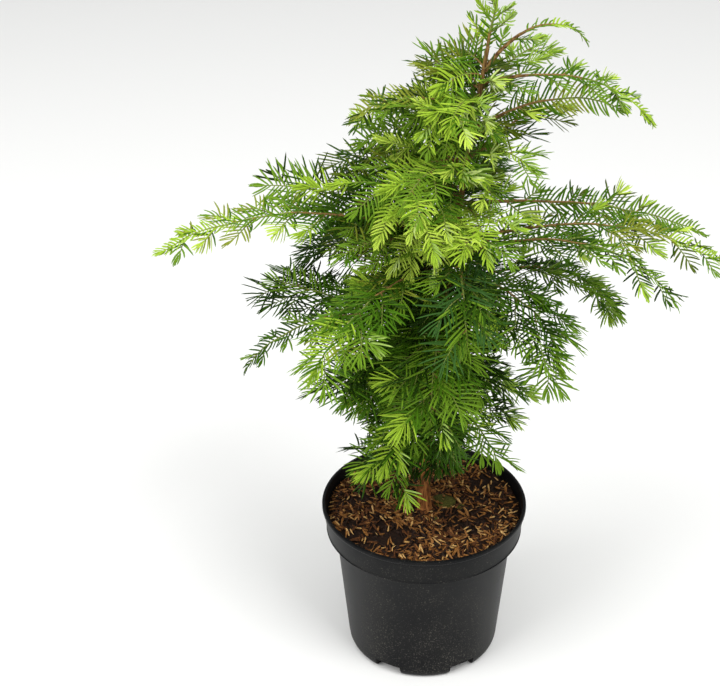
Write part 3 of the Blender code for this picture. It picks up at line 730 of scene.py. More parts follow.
def lay_needles(twig, lines, base_angle):
    """Add a twig's points to its tones' lines, with the needle's length, angle and side at each."""
    count = len(twig.points)
    total = (count - 1) * STEP
    # The needles nearest the foot take the older tone, partly painted shade for the crown's shadowed middle
    old = round(count * OLD_AND_SHADED_SHARE) if count > TUFT else 0
    split = count if twig.tip_tone == twig.tone else max(old + 3, round(count * TIP_START))
    lengths, angles = [], []
    for i in range(count):
        s = i / (count - 1)
        to_end = (1 - s) * total
        youth = TONES[twig.tone if i < split else twig.tip_tone][1]
        length = twig.needle * (0.72 + 0.28 * math.sin(math.pi * s)) * (1 - 0.18 * youth)
        length *= 1 - twig.taper * s
        length *= min(1.0, 0.45 + 0.35 * youth + to_end / (18 * MM)) * min(1.0, s * total / (5 * MM))
        lengths.append(length)
        spread = min(1.0, to_end / (14 * MM))
        angles.append(TIP_ANGLE + (base_angle * (1 + 0.1 * youth) - TIP_ANGLE) * spread)
    sides = [side for side, _ in twig.frames]
    cuts = (
        (OLDER_AND_SHADED[twig.tone], 0, old), (twig.tone, max(0, old - 1), split), (twig.tip_tone, split - 1, count),
    )
    for tone, a, b in cuts:
        if b - a > 1:
            lines[tone].add(twig.points[a:b], needle=lengths[a:b], angle=angles[a:b], side=sides[a:b])
    # A young tip is a tuft, with needles above and below it too
    if TONES[twig.tip_tone][1] > 0.8 and count > TUFT:
        lifts = [lift for _, lift in twig.frames[-TUFT:]]
        short = [0.9 * length for length in lengths[-TUFT:]]
        lines[twig.tip_tone].add(twig.points[-TUFT:], needle=short, angle=angles[-TUFT:], side=lifts)


def needle_mesh(name, hand, bend, droop):
    """A needle one unit long along +Y and one unit wide, with a roofed top and a flat underside.

    It bends forward along the twig and droops by so many widths at its tip.
    """
    bm = bmesh.new()
    rings = []
    for t, half in ((0.0, 0.18), (0.1, 0.44), (0.5, 0.5), (0.84, 0.4)):
        x, z = -hand * bend * t * t, -droop * t * t
        rings.append([bm.verts.new((x + dx, t, z + dz)) for dx, dz in ((-half, 0), (0, 0.3), (half, 0))])
    tip = bm.verts.new((-hand * bend, 1, -droop))
    under = []
    for a, b in zip(rings, rings[1:]):
        for k in range(3):
            n = (k + 1) % 3
            face = bm.faces.new((a[k], a[n], b[n], b[k]))
            if k == 2:
                under.append(face)
    for k in range(3):
        face = bm.faces.new((rings[-1][k], rings[-1][(k + 1) % 3], tip))
        if k == 2:
            under.append(face)
    bm.faces.new(rings[0])
    bmesh.ops.recalc_face_normals(bm, faces=bm.faces)
    bm.faces.ensure_lookup_table()
    flags = [face in under for face in bm.faces]
    mesh = new_mesh(name, bm)
    mesh.attributes.new("underside", "BOOLEAN", "FACE").data.foreach_set("value", flags)
    return mesh


def needle_tree():
    """Needles in two ranks along lines, alternating right and left."""
    tree, given = geometry_tree("needles along twigs", {
        "Needles": "Collection", "Width": "Float", "Pitch": "Float", "Lift": "Float", "Seed": "Int",
        "Top": "Material", "Underside": "Material",
    })
    curve = node(tree, "GeometryNodeMeshToCurve", {"Mesh": given["Geometry"]})
    half_pitch = node(tree, "ShaderNodeMath", {0: given["Pitch"], 1: 0.5}, operation="MULTIPLY")
    spaced = node(tree, "GeometryNodeResampleCurve", {
        "Curve": curve.outputs[0], "Length": half_pitch.outputs[0],
    }, mode="LENGTH")
    length = node(tree, "GeometryNodeInputNamedAttribute", {"Name": "needle"}).outputs[0]
    angle = node(tree, "GeometryNodeInputNamedAttribute", {"Name": "angle"}).outputs[0]
    side = node(
        tree, "GeometryNodeInputNamedAttribute", {"Name": "side"}, data_type="FLOAT_VECTOR"
    ).outputs[0]
    tangent = node(tree, "GeometryNodeInputTangent").outputs[0]
    lift = node(tree, "ShaderNodeVectorMath", {0: side, 1: tangent}, operation="CROSS_PRODUCT").outputs[0]
    index = node(tree, "GeometryNodeInputIndex").outputs[0]
    odd = node(tree, "ShaderNodeMath", {0: index, 1: 2.0}, operation="MODULO").outputs[0]
    hand = node(tree, "ShaderNodeMath", {0: odd, 1: -2.0, 2: 1.0}, operation="MULTIPLY_ADD").outputs[0]

    def scatter(low, high, salt):
        seed = node(tree, "ShaderNodeMath", {0: given["Seed"], 1: float(salt)}, operation="ADD").outputs[0]
        return node(tree, "FunctionNodeRandomValue", {2: low, 3: high, "Seed": seed}).outputs[1]

    stray = scatter(-0.14, 0.14, 1)
    turned = node(tree, "ShaderNodeMath", {0: angle, 1: stray}, operation="ADD").outputs[0]
    stray = scatter(-0.19, 0.23, 2)
    raised = node(tree, "ShaderNodeMath", {0: given["Lift"], 1: stray}, operation="ADD").outputs[0]
    sine = node(tree, "ShaderNodeMath", {0: turned}, operation="SINE").outputs[0]
    out = node(tree, "ShaderNodeMath", {0: sine, 1: hand}, operation="MULTIPLY").outputs[0]
    ahead = node(tree, "ShaderNodeMath", {0: turned}, operation="COSINE").outputs[0]
    above = node(tree, "ShaderNodeMath", {0: raised}, operation="SINE").outputs[0]
    ahead = node(tree, "ShaderNodeVectorMath", {0: tangent, "Scale": ahead}, operation="SCALE").outputs[0]
    out = node(tree, "ShaderNodeVectorMath", {0: side, "Scale": out}, operation="SCALE").outputs[0]
    above = node(tree, "ShaderNodeVectorMath", {0: lift, "Scale": above}, operation="SCALE").outputs[0]
    flat = node(tree, "ShaderNodeVectorMath", {0: ahead, 1: out}, operation="ADD").outputs[0]
    way = node(tree, "ShaderNodeVectorMath", {0: flat, 1: above}, operation="ADD").outputs[0]
    laid = node(
        tree, "FunctionNodeAxesToRotation", {"Primary Axis": way, "Secondary Axis": lift},
        primary_axis="Y", secondary_axis="Z",
    ).outputs[0]
    twist = node(tree, "FunctionNodeAxisAngleToRotation", {
        "Axis": (0, 1, 0), "Angle": scatter(-0.4, 0.4, 3),
    }).outputs[0]
    laid = node(tree, "FunctionNodeRotateRotation", {0: laid, 1: twist}, rotation_space="LOCAL").outputs[0]
    stray = scatter(0.8, 1.08, 4)
    long = node(tree, "ShaderNodeMath", {0: length, 1: stray}, operation="MULTIPLY").outputs[0]
    size = node(tree, "ShaderNodeCombineXYZ", {0: given["Width"], 1: long, 2: given["Width"]}).outputs[0]
    last = len(NEEDLE_SHAPES) - 1
    pick = node(tree, "FunctionNodeRandomValue", {
        4: 0, 5: last, "Seed": given["Seed"],
    }, data_type="INT").outputs[2]
    pick = node(tree, "ShaderNodeMath", {0: odd, 1: last + 1.0, 2: pick}, operation="MULTIPLY_ADD").outputs[0]
    kept = node(tree, "FunctionNodeCompare", {0: length, 1: 3 * MM}, operation="GREATER_THAN").outputs[0]
    needles = node(tree, "GeometryNodeCollectionInfo", {
        "Collection": given["Needles"], "Separate Children": True, "Reset Children": True,
    }).outputs[0]
    placed = node(tree, "GeometryNodeInstanceOnPoints", {
        "Points": spaced.outputs[0], "Selection": kept, "Instance": needles, "Pick Instance": True,
        "Instance Index": pick, "Rotation": laid, "Scale": size,
    })
    real = node(tree, "GeometryNodeRealizeInstances", {0: placed.outputs[0]})
    tops = node(tree, "GeometryNodeSetMaterial", {"Geometry": real.outputs[0], "Material": given["Top"]})
    below = node(
        tree, "GeometryNodeInputNamedAttribute", {"Name": "underside"}, data_type="BOOLEAN"
    ).outputs[0]
    both = node(tree, "GeometryNodeSetMaterial", {
        "Geometry": tops.outputs[0], "Selection": below, "Material": given["Underside"],
    })
    node(tree, "NodeGroupOutput", {0: both.outputs[0]})
    return tree


def wood_tree():
    """Round wood of a given radius along lines."""
    tree, given = geometry_tree("wood along twigs", {"Sides": "Int", "Step": "Float", "Wood": "Material"})
    curve = node(tree, "GeometryNodeMeshToCurve", {"Mesh": given["Geometry"]})
    curve = node(tree, "GeometryNodeResampleCurve", {
        "Curve": curve.outputs[0], "Length": given["Step"],
    }, mode="LENGTH")
    ring = node(tree, "GeometryNodeCurvePrimitiveCircle", {"Resolution": given["Sides"], "Radius": 1.0})
    radius = node(tree, "GeometryNodeInputNamedAttribute", {"Name": "radius"}).outputs[0]
    tube = node(tree, "GeometryNodeCurveToMesh", {
        "Curve": curve.outputs[0], "Profile Curve": ring.outputs[0], "Scale": radius, "Fill Caps": True,
    })
    round_wood = node(tree, "GeometryNodeSetShadeSmooth", {"Geometry": tube.outputs[0]})
    real = node(tree, "GeometryNodeRealizeInstances", {0: round_wood.outputs[0]})
    painted = node(tree, "GeometryNodeSetMaterial", {"Geometry": real.outputs[0], "Material": given["Wood"]})
    node(tree, "NodeGroupOutput", {0: painted.outputs[0]})
    return tree


def scatter_tree():
    """Small things scattered over a surface, turned and tilted at random."""
    tree, given = geometry_tree("scattered on compost", {
        "Things": "Collection", "Kinds": "Int", "Density": "Float", "Size": "Float", "Tilt": "Float",
        "Wall radius": "Float", "Seed": "Int", "Finish": "Material",
    })
    # Drifts about 30 mm across, with damp ground between them
    drift = node(tree, "ShaderNodeTexNoise", {"Scale": 1 / (30 * MM), "Detail": 2.0}).outputs[0]
    share = node(tree, "ShaderNodeMapRange", {0: drift, 1: 0.38, 2: 0.60, 3: 0.25, 4: 1.4}).outputs[0]
    density = node(tree, "ShaderNodeMath", {0: given["Density"], 1: share}, operation="MULTIPLY").outputs[0]
    spots = node(tree, "GeometryNodeDistributePointsOnFaces", {
        "Mesh": given["Geometry"], "Density": density, "Seed": given["Seed"],
    })
    spin = node(tree, "FunctionNodeRandomValue", {2: 0.0, 3: 2 * math.pi, "Seed": given["Seed"]}).outputs[1]
    less = node(tree, "ShaderNodeMath", {0: given["Tilt"], 1: -1.0}, operation="MULTIPLY").outputs[0]
    seed = node(tree, "ShaderNodeMath", {0: given["Seed"], 1: 1.0}, operation="ADD").outputs[0]
    tilt = node(tree, "FunctionNodeRandomValue", {2: less, 3: given["Tilt"], "Seed": seed}).outputs[1]
    euler = node(tree, "ShaderNodeCombineXYZ", {0: tilt, 1: tilt, 2: spin}).outputs[0]
    turn = node(tree, "FunctionNodeEulerToRotation", {0: euler}).outputs[0]
    laid = node(tree, "FunctionNodeRotateRotation", {
        0: spots.outputs["Rotation"], 1: turn,
    }, rotation_space="LOCAL").outputs[0]
    share = node(tree, "FunctionNodeRandomValue", {2: 0.45, 3: 1.45, "Seed": seed}).outputs[1]
    size = node(tree, "ShaderNodeMath", {0: given["Size"], 1: share}, operation="MULTIPLY").outputs[0]
    # Near the wall only small things fit
    spot = node(tree, "GeometryNodeInputPosition").outputs[0]
    flat = node(tree, "ShaderNodeVectorMath", {0: spot, 1: (1, 1, 0)}, operation="MULTIPLY").outputs[0]
    radius = node(tree, "ShaderNodeVectorMath", {0: flat}, operation="LENGTH").outputs["Value"]
    room = node(tree, "ShaderNodeMath", {0: given["Wall radius"], 1: radius}, operation="SUBTRACT").outputs[0]
    across_room = node(tree, "ShaderNodeMath", {0: room, 1: 1.9}, operation="MULTIPLY").outputs[0]
    size = node(tree, "ShaderNodeMath", {0: size, 1: across_room}, operation="MINIMUM").outputs[0]
    last = node(tree, "ShaderNodeMath", {0: given["Kinds"], 1: -1.0}, operation="ADD").outputs[0]
    pick = node(tree, "FunctionNodeRandomValue", {
        4: 0, 5: last, "Seed": given["Seed"],
    }, data_type="INT").outputs[2]
    things = node(tree, "GeometryNodeCollectionInfo", {
        "Collection": given["Things"], "Separate Children": True, "Reset Children": True,
    }).outputs[0]
    placed = node(tree, "GeometryNodeInstanceOnPoints", {
        "Points": spots.outputs["Points"], "Instance": things, "Pick Instance": True, "Instance Index": pick,
        "Rotation": laid, "Scale": size,
    })
    real = node(tree, "GeometryNodeRealizeInstances", {0: placed.outputs[0]})
    painted = node(tree, "GeometryNodeSetMaterial", {
        "Geometry": real.outputs[0], "Material": given["Finish"],
    })
    node(tree, "NodeGroupOutput", {0: painted.outputs[0]})
    return tree


# Materials

def moulded_polypropylene(settings):
    """Black polypropylene, injection moulded: a satin skin with a faint orange peel and dry dust."""
    made, tree, shader = finish_named(
        "moulded black polypropylene", settings.plastic, 0.42, Specular_IOR_Level=0.09
    )
    place_of = node(tree, "ShaderNodeTexCoord").outputs["Object"]
    # Dust and splashes, about 1 mm across, in clouds about 30 mm across, thicker low on the wall
    specks = node(tree, "ShaderNodeTexNoise", {
        "Vector": place_of, "Scale": 1 / (1.2 * MM), "Detail": 4.0,
    }).outputs[0]
    cloud = node(tree, "ShaderNodeTexNoise", {
        "Vector": place_of, "Scale": 1 / (32 * MM), "Detail": 4.0,
    }).outputs[0]
    height = node(tree, "ShaderNodeSeparateXYZ", {0: place_of}).outputs[2]
    low = node(tree, "ShaderNodeMapRange", {0: height, 1: 0.0, 2: POT_HEIGHT, 3: 0.07, 4: 0.0}).outputs[0]
    ground = node(tree, "ShaderNodeMath", {0: cloud, 1: 0.16, 2: low}, operation="MULTIPLY_ADD").outputs[0]
    heavy = node(tree, "ShaderNodeMath", {0: specks, 1: ground}, operation="ADD").outputs[0]
    dusty = node(tree, "ShaderNodeMapRange", {0: heavy, 1: 0.70, 2: 0.86, 3: 0.0, 4: 0.6}).outputs[0]
    # A thin even film of dust over everything, in soft clouds
    film = node(tree, "ShaderNodeMapRange", {0: cloud, 1: 0.35, 2: 0.75, 3: 0.0, 4: 0.04}).outputs[0]
    cover = node(tree, "ShaderNodeMath", {0: dusty, 1: film}, operation="MAXIMUM").outputs[0]
    blend = node(tree, "ShaderNodeMix", {
        0: cover, 6: (*settings.plastic, 1), 7: (*settings.dust, 1),
    }, data_type="RGBA")
    tree.links.new(blend.outputs[2], shader.inputs["Base Color"])
    rough = node(tree, "ShaderNodeMapRange", {0: cover, 1: 0.0, 2: 0.6, 3: 0.40, 4: 0.72}).outputs[0]
    tree.links.new(rough, shader.inputs["Roughness"])
    # The moulded skin's orange peel is about 2 mm across
    peel = node(tree, "ShaderNodeTexNoise", {
        "Vector": place_of, "Scale": 1 / (2.2 * MM), "Detail": 3.0,
    }).outputs[0]
    bump = node(tree, "ShaderNodeBump", {"Strength": 0.22, "Distance": 0.12 * MM, "Height": peel}).outputs[0]
    tree.links.new(bump, shader.inputs["Normal"])
    return made


def fibrous(name, low, high, roughness, grain, across_grain, relief, young=None):
    """Bark, chips or moss: fibres that are dark in the grooves and paler on the ridges.

    grain and across_grain are the fibres' length and width, and young is the bark's colour
    high on the plant.
    """
    made, tree, shader = finish_named(name, high, roughness, Specular_IOR_Level=0.2)
    place_of = node(tree, "ShaderNodeTexCoord").outputs["Object"]
    stretched = node(tree, "ShaderNodeMapping", {
        "Vector": place_of, "Scale": (1 / across_grain, 1 / across_grain, 1 / grain),
    }).outputs[0]
    fibre = node(tree, "ShaderNodeTexNoise", {
        "Vector": stretched, "Scale": 1.0, "Detail": 5.0, "Roughness": 0.65,
    }).outputs[0]
    share = node(tree, "ShaderNodeMapRange", {0: fibre, 1: 0.36, 2: 0.62, 3: 0.0, 4: 1.0}).outputs[0]
    top = (*high, 1)
    if young is not None:
        height = node(tree, "ShaderNodeSeparateXYZ", {0: place_of}).outputs[2]
        age = node(tree, "ShaderNodeMapRange", {0: height, 1: 0.24, 2: 0.50, 3: 0.0, 4: 1.0}).outputs[0]
        top = node(tree, "ShaderNodeMix", {
            0: age, 6: (*high, 1), 7: (*young, 1),
        }, data_type="RGBA").outputs[2]
    blend = node(tree, "ShaderNodeMix", {0: share, 6: (*low, 1), 7: top}, data_type="RGBA")
    tree.links.new(blend.outputs[2], shader.inputs["Base Color"])
    bump = node(tree, "ShaderNodeBump", {"Strength": 0.7, "Distance": relief, "Height": fibre}).outputs[0]
    tree.links.new(bump, shader.inputs["Normal"])
    return made


def damp_peat(settings):
    """Damp peat: nearly black and crumbly."""
    made, tree, shader = finish_named("damp peat", settings.peat, 0.85, Specular_IOR_Level=0.15)
    place_of = node(tree, "ShaderNodeTexCoord").outputs["Object"]
    crumb = node(tree, "ShaderNodeTexNoise", {
        "Vector": place_of, "Scale": 1 / CRUMB_SIZE, "Detail": 5.0,
    }).outputs[0]
    share = node(tree, "ShaderNodeMapRange", {0: crumb, 1: 0.4, 2: 0.7, 3: 0.0, 4: 0.6}).outputs[0]
    blend = node(tree, "ShaderNodeMix", {
        0: share, 6: (*settings.peat, 1), 7: (*settings.brown, 1),
    }, data_type="RGBA")
    tree.links.new(blend.outputs[2], shader.inputs["Base Color"])
    bump = node(tree, "ShaderNodeBump", {"Strength": 0.8, "Distance": 0.6 * MM, "Height": crumb}).outputs[0]
    tree.links.new(bump, shader.inputs["Normal"])
    return made


def needle_skin(name, base, roughness):
    """Needle cuticle: a plain colour under thin wax, whose gloss varies from needle to needle."""
    made, tree, shader = finish_named(name, base, roughness, Specular_IOR_Level=0.06)
    place_of = node(tree, "ShaderNodeTexCoord").outputs["Object"]
    wax = node(tree, "ShaderNodeTexNoise", {
        "Vector": place_of, "Scale": 1 / (5 * MM), "Detail": 2.0,
    }).outputs[0]
    rough = node(tree, "ShaderNodeMapRange", {
        0: wax, 1: 0.3, 2: 0.7, 3: roughness - 0.1, 4: roughness + 0.12,
    }).outputs[0]
    tree.links.new(rough, shader.inputs["Roughness"])
    return made


def pale_floor(settings):
    """Matt white card under the pot."""
    made, tree, shader = finish_named("matt white card", settings.floor, 0.7)
    place_of = node(tree, "ShaderNodeTexCoord").outputs["Object"]
    grain = node(tree, "ShaderNodeTexNoise", {
        "Vector": place_of, "Scale": 1 / (6 * MM), "Detail": 3.0,
    }).outputs[0]
    bump = node(tree, "ShaderNodeBump", {"Strength": 0.05, "Distance": 0.1 * MM, "Height": grain}).outputs[0]
    tree.links.new(bump, shader.inputs["Normal"])
    return made


# The pieces, one operator for each kind

class REDWOOD_OT_stage(bpy.types.Operator):
    """Pale floor, soft light and the camera"""

    bl_idname = "redwood.stage"
    bl_label = "Stage"

    def execute(self, context):
        settings = context.scene.redwood_stage
        bm = bmesh.new()
        bmesh.ops.create_circle(bm, cap_ends=True, segments=96, radius=FLOOR_RADIUS)
        floor = new_object("floor", new_mesh("floor", bm))
        floor.data.materials.append(pale_floor(settings))

        world = bpy.data.worlds.new("white surround")
        world.use_nodes = True
        background = world.node_tree.nodes["Background"]
        background.inputs["Color"].default_value = (0.97, 0.98, 1.0, 1.0)
        background.inputs["Strength"].default_value = settings.sky
        context.scene.world = world
        for name, spot, size, share in LAMPS:
            light = bpy.data.lights.new(name, "AREA")
            light.size = size
            light.energy = settings.lamp * share
            lamp = bpy.data.objects.new(name, light)
            lamp.location = spot
            lamp.rotation_euler = (LAMPS_AIM - Vector(spot)).to_track_quat("-Z", "Y").to_euler()
            context.scene.collection.objects.link(lamp)

        lens = bpy.data.cameras.new("camera")
        lens.sensor_width = 36
        lens.lens = LENS
        camera = bpy.data.objects.new("camera", lens)
        camera.location = CAMERA_PLACE
        looking_down = Matrix.Rotation(math.pi / 2 - CAMERA_DOWN, 3, "X")
        camera.rotation_euler = (looking_down @ Matrix.Rotation(CAMERA_ROLL, 3, "Z")).to_euler()
        context.scene.collection.objects.link(camera)
        context.scene.camera = camera
        context.scene.view_settings.view_transform = "Standard"
        return {"FINISHED"}


def pot_profile():
    """Radius and height along the wall: from under the floor, over the rim and back in."""
    heel = 0.3 * (HEEL_RADIUS - FLAT_RADIUS)
    lip_foot = POT_HEIGHT - LIP_DEPTH
    inner_rim = RIM_RADIUS - LIP_WIDTH - WALL
    return [
        (0, 0),
        (FLAT_RADIUS - 1 * MM, 0),
        (FLAT_RADIUS + heel, 0.8 * MM),
        (HEEL_RADIUS - heel, 0.35 * HEEL_HEIGHT),
        (HEEL_RADIUS - 0.25 * heel, 0.7 * HEEL_HEIGHT),
        (HEEL_RADIUS, HEEL_HEIGHT),
        (WALL_TOP_RADIUS - 0.1 * MM, BAND_FOOT - 1.2 * MM),
        (WALL_TOP_RADIUS + 0.6 * MM, BAND_FOOT - 0.1 * MM),
        (BAND_FOOT_RADIUS - 0.6 * MM, BAND_FOOT),
        (BAND_FOOT_RADIUS + 0.3 * MM, BAND_FOOT + 0.2 * MM),
        (BAND_FOOT_RADIUS + 0.6 * MM, BAND_FOOT + 0.7 * MM),
        (BAND_FOOT_RADIUS + 0.35 * MM, BAND_FOOT + 1.2 * MM),
        (BAND_FOOT_RADIUS, BAND_FOOT + 1.5 * MM),
        (RIM_RADIUS - LIP_WIDTH, lip_foot - 1.2 * MM),
        (RIM_RADIUS - 0.3 * MM, lip_foot - 0.4 * MM),
        (RIM_RADIUS, lip_foot + 0.3 * MM),
        (RIM_RADIUS, POT_HEIGHT - 1.0 * MM),
        (RIM_RADIUS - 0.3 * MM, POT_HEIGHT - 0.3 * MM),
        (RIM_RADIUS - 1.0 * MM, POT_HEIGHT),
        (inner_rim + 0.5 * MM, POT_HEIGHT),
        (inner_rim, POT_HEIGHT - 0.6 * MM),
        (BAND_FOOT_RADIUS - WALL, BAND_FOOT + 2 * WALL),
        (WALL_TOP_RADIUS - WALL, BAND_FOOT + WALL),
        (HEEL_RADIUS - WALL, HEEL_HEIGHT),
        (FLAT_RADIUS - WALL, FLOOR),
        (0, FLOOR),
    ]


def slot_wedges():
    """A wedge for each drain slot between two feet, wider below than above."""
    bm = bmesh.new()
    for k in range(FEET):
        middle = 2 * math.pi * k / FEET
        corners = []
        for height, spread in ((-SLOT_HEIGHT, 1.15), (SLOT_HEIGHT, 0.88)):
            for radius in (SLOT_INNER_RADIUS, WALL_TOP_RADIUS):
                for edge in (-1, 1):
                    a = middle + edge * spread * SLOT_HALF_ANGLE
                    corners.append(bm.verts.new((radius * math.cos(a), radius * math.sin(a), height)))
        for wall in ((0, 1, 3, 2), (4, 6, 7, 5), (0, 4, 5, 1), (2, 3, 7, 6), (0, 2, 6, 4), (1, 5, 7, 3)):
            bm.faces.new([corners[i] for i in wall])
    bmesh.ops.recalc_face_normals(bm, faces=bm.faces)
    return new_mesh("slots", bm)


class REDWOOD_OT_pot(bpy.types.Operator):
    """Moulded pot with its rim band, lip and drain slots"""

    bl_idname = "redwood.pot"
    bl_label = "Pot"

    def execute(self, context):
        settings = context.scene.redwood_pot
        bm = bmesh.new()
        line = [bm.verts.new((radius, 0, height)) for radius, height in pot_profile()]
        edges = [bm.edges.new(pair) for pair in zip(line, line[1:])]
        bmesh.ops.spin(
            bm, geom=line + edges, cent=(0, 0, 0), axis=(0, 0, 1), angle=2 * math.pi, steps=settings.sides
        )
        bmesh.ops.remove_doubles(bm, verts=bm.verts, dist=0.01 * MM)
        bmesh.ops.recalc_face_normals(bm, faces=bm.faces)
        pot = new_object("moulded_pot", new_mesh("moulded_pot", bm))
        cutter = new_object("slots", slot_wedges())
        cut = pot.modifiers.new("drain slots", "BOOLEAN")
        cut.operation = "DIFFERENCE"
        cut.object = cutter
        graph = context.evaluated_depsgraph_get()
        mesh = bpy.data.meshes.new_from_object(pot.evaluated_get(graph), depsgraph=graph)
        pot.modifiers.clear()
        pot.data = mesh
        bpy.data.objects.remove(cutter, do_unlink=True)
        mesh.shade_smooth()
        mesh.set_sharp_from_angle(angle=math.radians(34))
        mesh.materials.clear()
        mesh.materials.append(moulded_polypropylene(settings))
        place(pot, "pot_plastic", "pot")
        return {"FINISHED"}


def soil_height(x, y):
    """The solid's low lumps, with the crumbs of the real surface on them."""
    calm = min(1.0, max(0.0, (math.hypot(x, y) - SOIL_PAD_RADIUS) / SOIL_CALM))
    lumps = math.sin(x / (9 * MM) + 1.3) * math.cos(y / (11 * MM)) + 0.6 * math.sin((x - y) / (6 * MM))
    crumbs = noise.fractal(Vector((x, y, 0)) / (5 * MM), 0.9, 2.1, 4)
    return SOIL_LEVEL + calm * SOIL_LUMP * (lumps - 0.6) + 0.9 * MM * crumbs


def soil_surface(bm, rings, sides, reach, raised=0.0):
    """The top of the compost in rings, from its middle out to a radius, as rings of vertices."""
    found = [[bm.verts.new((0, 0, soil_height(0, 0) + raised))]]
    for i in range(1, rings + 1):
        radius = reach * i / rings
        ring = []
        for k in range(sides):
            a = 2 * math.pi * k / sides
            x, y = radius * math.cos(a), radius * math.sin(a)
            ring.append(bm.verts.new((x, y, soil_height(x, y) + raised)))
        found.append(ring)
    for k in range(sides):
        n = (k + 1) % sides
        bm.faces.new((found[0][0], found[1][k], found[1][n]))
        for lower, upper in zip(found[1:], found[2:]):
            bm.faces.new((lower[k], upper[k], upper[n], lower[n]))
    return found


def moss_patch(bm, x, y, radius):
    """A low cushion of moss on the compost."""
    made = bmesh.ops.create_icosphere(bm, subdivisions=3, radius=1.0)["verts"]
    for vert in made:
        lump = 1 + 0.35 * noise.noise(vert.co * 2.2 + Vector((x, y, 0)) / MM)
        spot = Vector((x, y, soil_height(x, y))) + Vector((radius, radius, 0.34 * radius)) * lump * vert.co
        vert.co = spot


def splinter(name, rng):
    """A splinter of bark, one unit long, with ragged ends."""
    bm = bmesh.new()
    rings = []
    curve = rng.uniform(-0.1, 0.1)
    for t, half in ((0, 0.04), (0.2, 0.10), (0.75, 0.085), (1, 0.02)):
        wide = half * rng.uniform(0.6, 1.5)
        thick = 0.5 * wide * rng.uniform(0.6, 1.3)
        x, z = t - 0.5, curve * math.sin(math.pi * t) + 0.04
        y = rng.uniform(-0.03, 0.03)
        rings.append([bm.verts.new((x + rng.uniform(-0.03, 0.03), y + dy * wide, z + dz * thick))
                      for dy, dz in ((-1, -1), (1, -1), (0.8, 1), (-0.7, 1))])
    for a, b in zip(rings, rings[1:]):
        bridge(bm, a, b)
    bm.faces.new(rings[0])
    bm.faces.new(rings[-1])
    bmesh.ops.recalc_face_normals(bm, faces=bm.faces)
    return new_mesh(name, bm)


def crumb(name, rng):
    """A crumb of compost, about one unit across."""
    bm = bmesh.new()
    bmesh.ops.create_icosphere(bm, subdivisions=1, radius=0.5)
    for vert in bm.verts:
        vert.co = Vector((vert.co.x, vert.co.y * 0.8, vert.co.z * 0.55)) * rng.uniform(0.75, 1.2)
    bmesh.ops.recalc_face_normals(bm, faces=bm.faces)
    return new_mesh(name, bm)


def compost_solid():
    """All of the compost: its surface, and the inside of the wall that it fills."""
    bm = bmesh.new()
    upper = soil_surface(bm, SOIL_RINGS, SOIL_SIDES, SOIL_RADIUS)[-1]
    inside = (
        (BAND_FOOT_RADIUS - WALL, BAND_FOOT + 2 * WALL), (WALL_TOP_RADIUS - WALL, BAND_FOOT + WALL),
        (HEEL_RADIUS - WALL, HEEL_HEIGHT), (FLAT_RADIUS - WALL, FLOOR),
    )
    for radius, height in inside:
        ring = []
        for k in range(SOIL_SIDES):
            a = 2 * math.pi * k / SOIL_SIDES
            r = radius - 0.4 * MM
            ring.append(bm.verts.new((r * math.cos(a), r * math.sin(a), height + 0.3 * MM)))
        bridge(bm, ring, upper)
        upper = ring
    bm.faces.new(upper)
    bmesh.ops.recalc_face_normals(bm, faces=bm.faces)
    return new_mesh("compost_body", bm, 40)


class REDWOOD_OT_compost(bpy.types.Operator):
    """Compost with its splinters of bark, crumbs and moss"""

    bl_idname = "redwood.compost"
    bl_label = "Compost"

    def execute(self, context):
        settings = context.scene.redwood_compost
        rng = random.Random(SEED)
        soil = new_object("compost_body", compost_solid())
        soil.data.materials.append(damp_peat(settings))
        place(soil, "compost", "compost")

        area = math.pi * SOIL_RADIUS ** 2
        splinters = kit("splinters", [splinter("splinter_%d" % i, rng) for i in range(6)])
        crumbs = kit("crumbs", [crumb("crumb_%d" % i, rng) for i in range(3)])
        tree = scatter_tree()
        finishes = {
            name: fibrous(name, low, high, roughness, 1.2 * MM, 1.2 * MM, 0.2 * MM)
            for name, low, high, roughness in (
                ("rust bark chip", settings.brown, settings.rust, 0.8),
                ("dry bark chip", settings.rust, settings.tan, 0.6),
                ("bleached wood chip", settings.tan, settings.straw, 0.5),
                ("damp bark chip", settings.peat, settings.brown, 0.7),
            )
        }
        deep_moss = tuple(0.3 * v for v in settings.moss)
        moss = fibrous("cushion moss", deep_moss, settings.moss, 0.9, 0.8 * MM, 0.8 * MM, 0.4 * MM)
        # Each layer's things, how many, their size and tilt, how high they lie, and their finish
        length, chips = settings.chip_length, settings.chips
        layers = (
            ("crumbs", crumbs, CRUMBS, CRUMB_SIZE, 0.4, 0.2 * MM, "damp bark chip"),
            ("damp_chips", splinters, 0.32 * chips, length, 0.5, 0.4 * MM, "damp bark chip"),
            ("rust_chips", splinters, 0.30 * chips, length, 0.5, 0.9 * MM, "rust bark chip"),
            ("tan_chips", splinters, 0.28 * chips, 0.9 * length, 0.6, 1.3 * MM, "dry bark chip"),
            ("straw_chips", splinters, 0.10 * chips, 0.75 * length, 0.6, 1.6 * MM, "bleached wood chip"),
        )
        for number, (name, things, count, size, tilt, raised, finish) in enumerate(layers):
            bm = bmesh.new()
            soil_surface(bm, SOIL_RINGS // 2, SOIL_SIDES // 2, SOIL_RADIUS - 1 * MM, raised)
            piece = grown(name, new_mesh(name, bm), tree, {
                "Things": things, "Kinds": len(things.objects), "Density": count / area, "Size": size,
                "Tilt": tilt, "Wall radius": SOIL_RADIUS, "Seed": 7 + number, "Finish": finishes[finish],
            })
            place(piece, "compost")
        bm = bmesh.new()
        for x, y, radius in MOSS:
            moss_patch(bm, x, y, radius)
        cushions = new_object("moss_cushions", new_mesh("moss_cushions", bm, 80))
        cushions.data.materials.append(moss)
        place(cushions, "compost")
        drop_kit(splinters)
        drop_kit(crumbs)
        return {"FINISHED"}


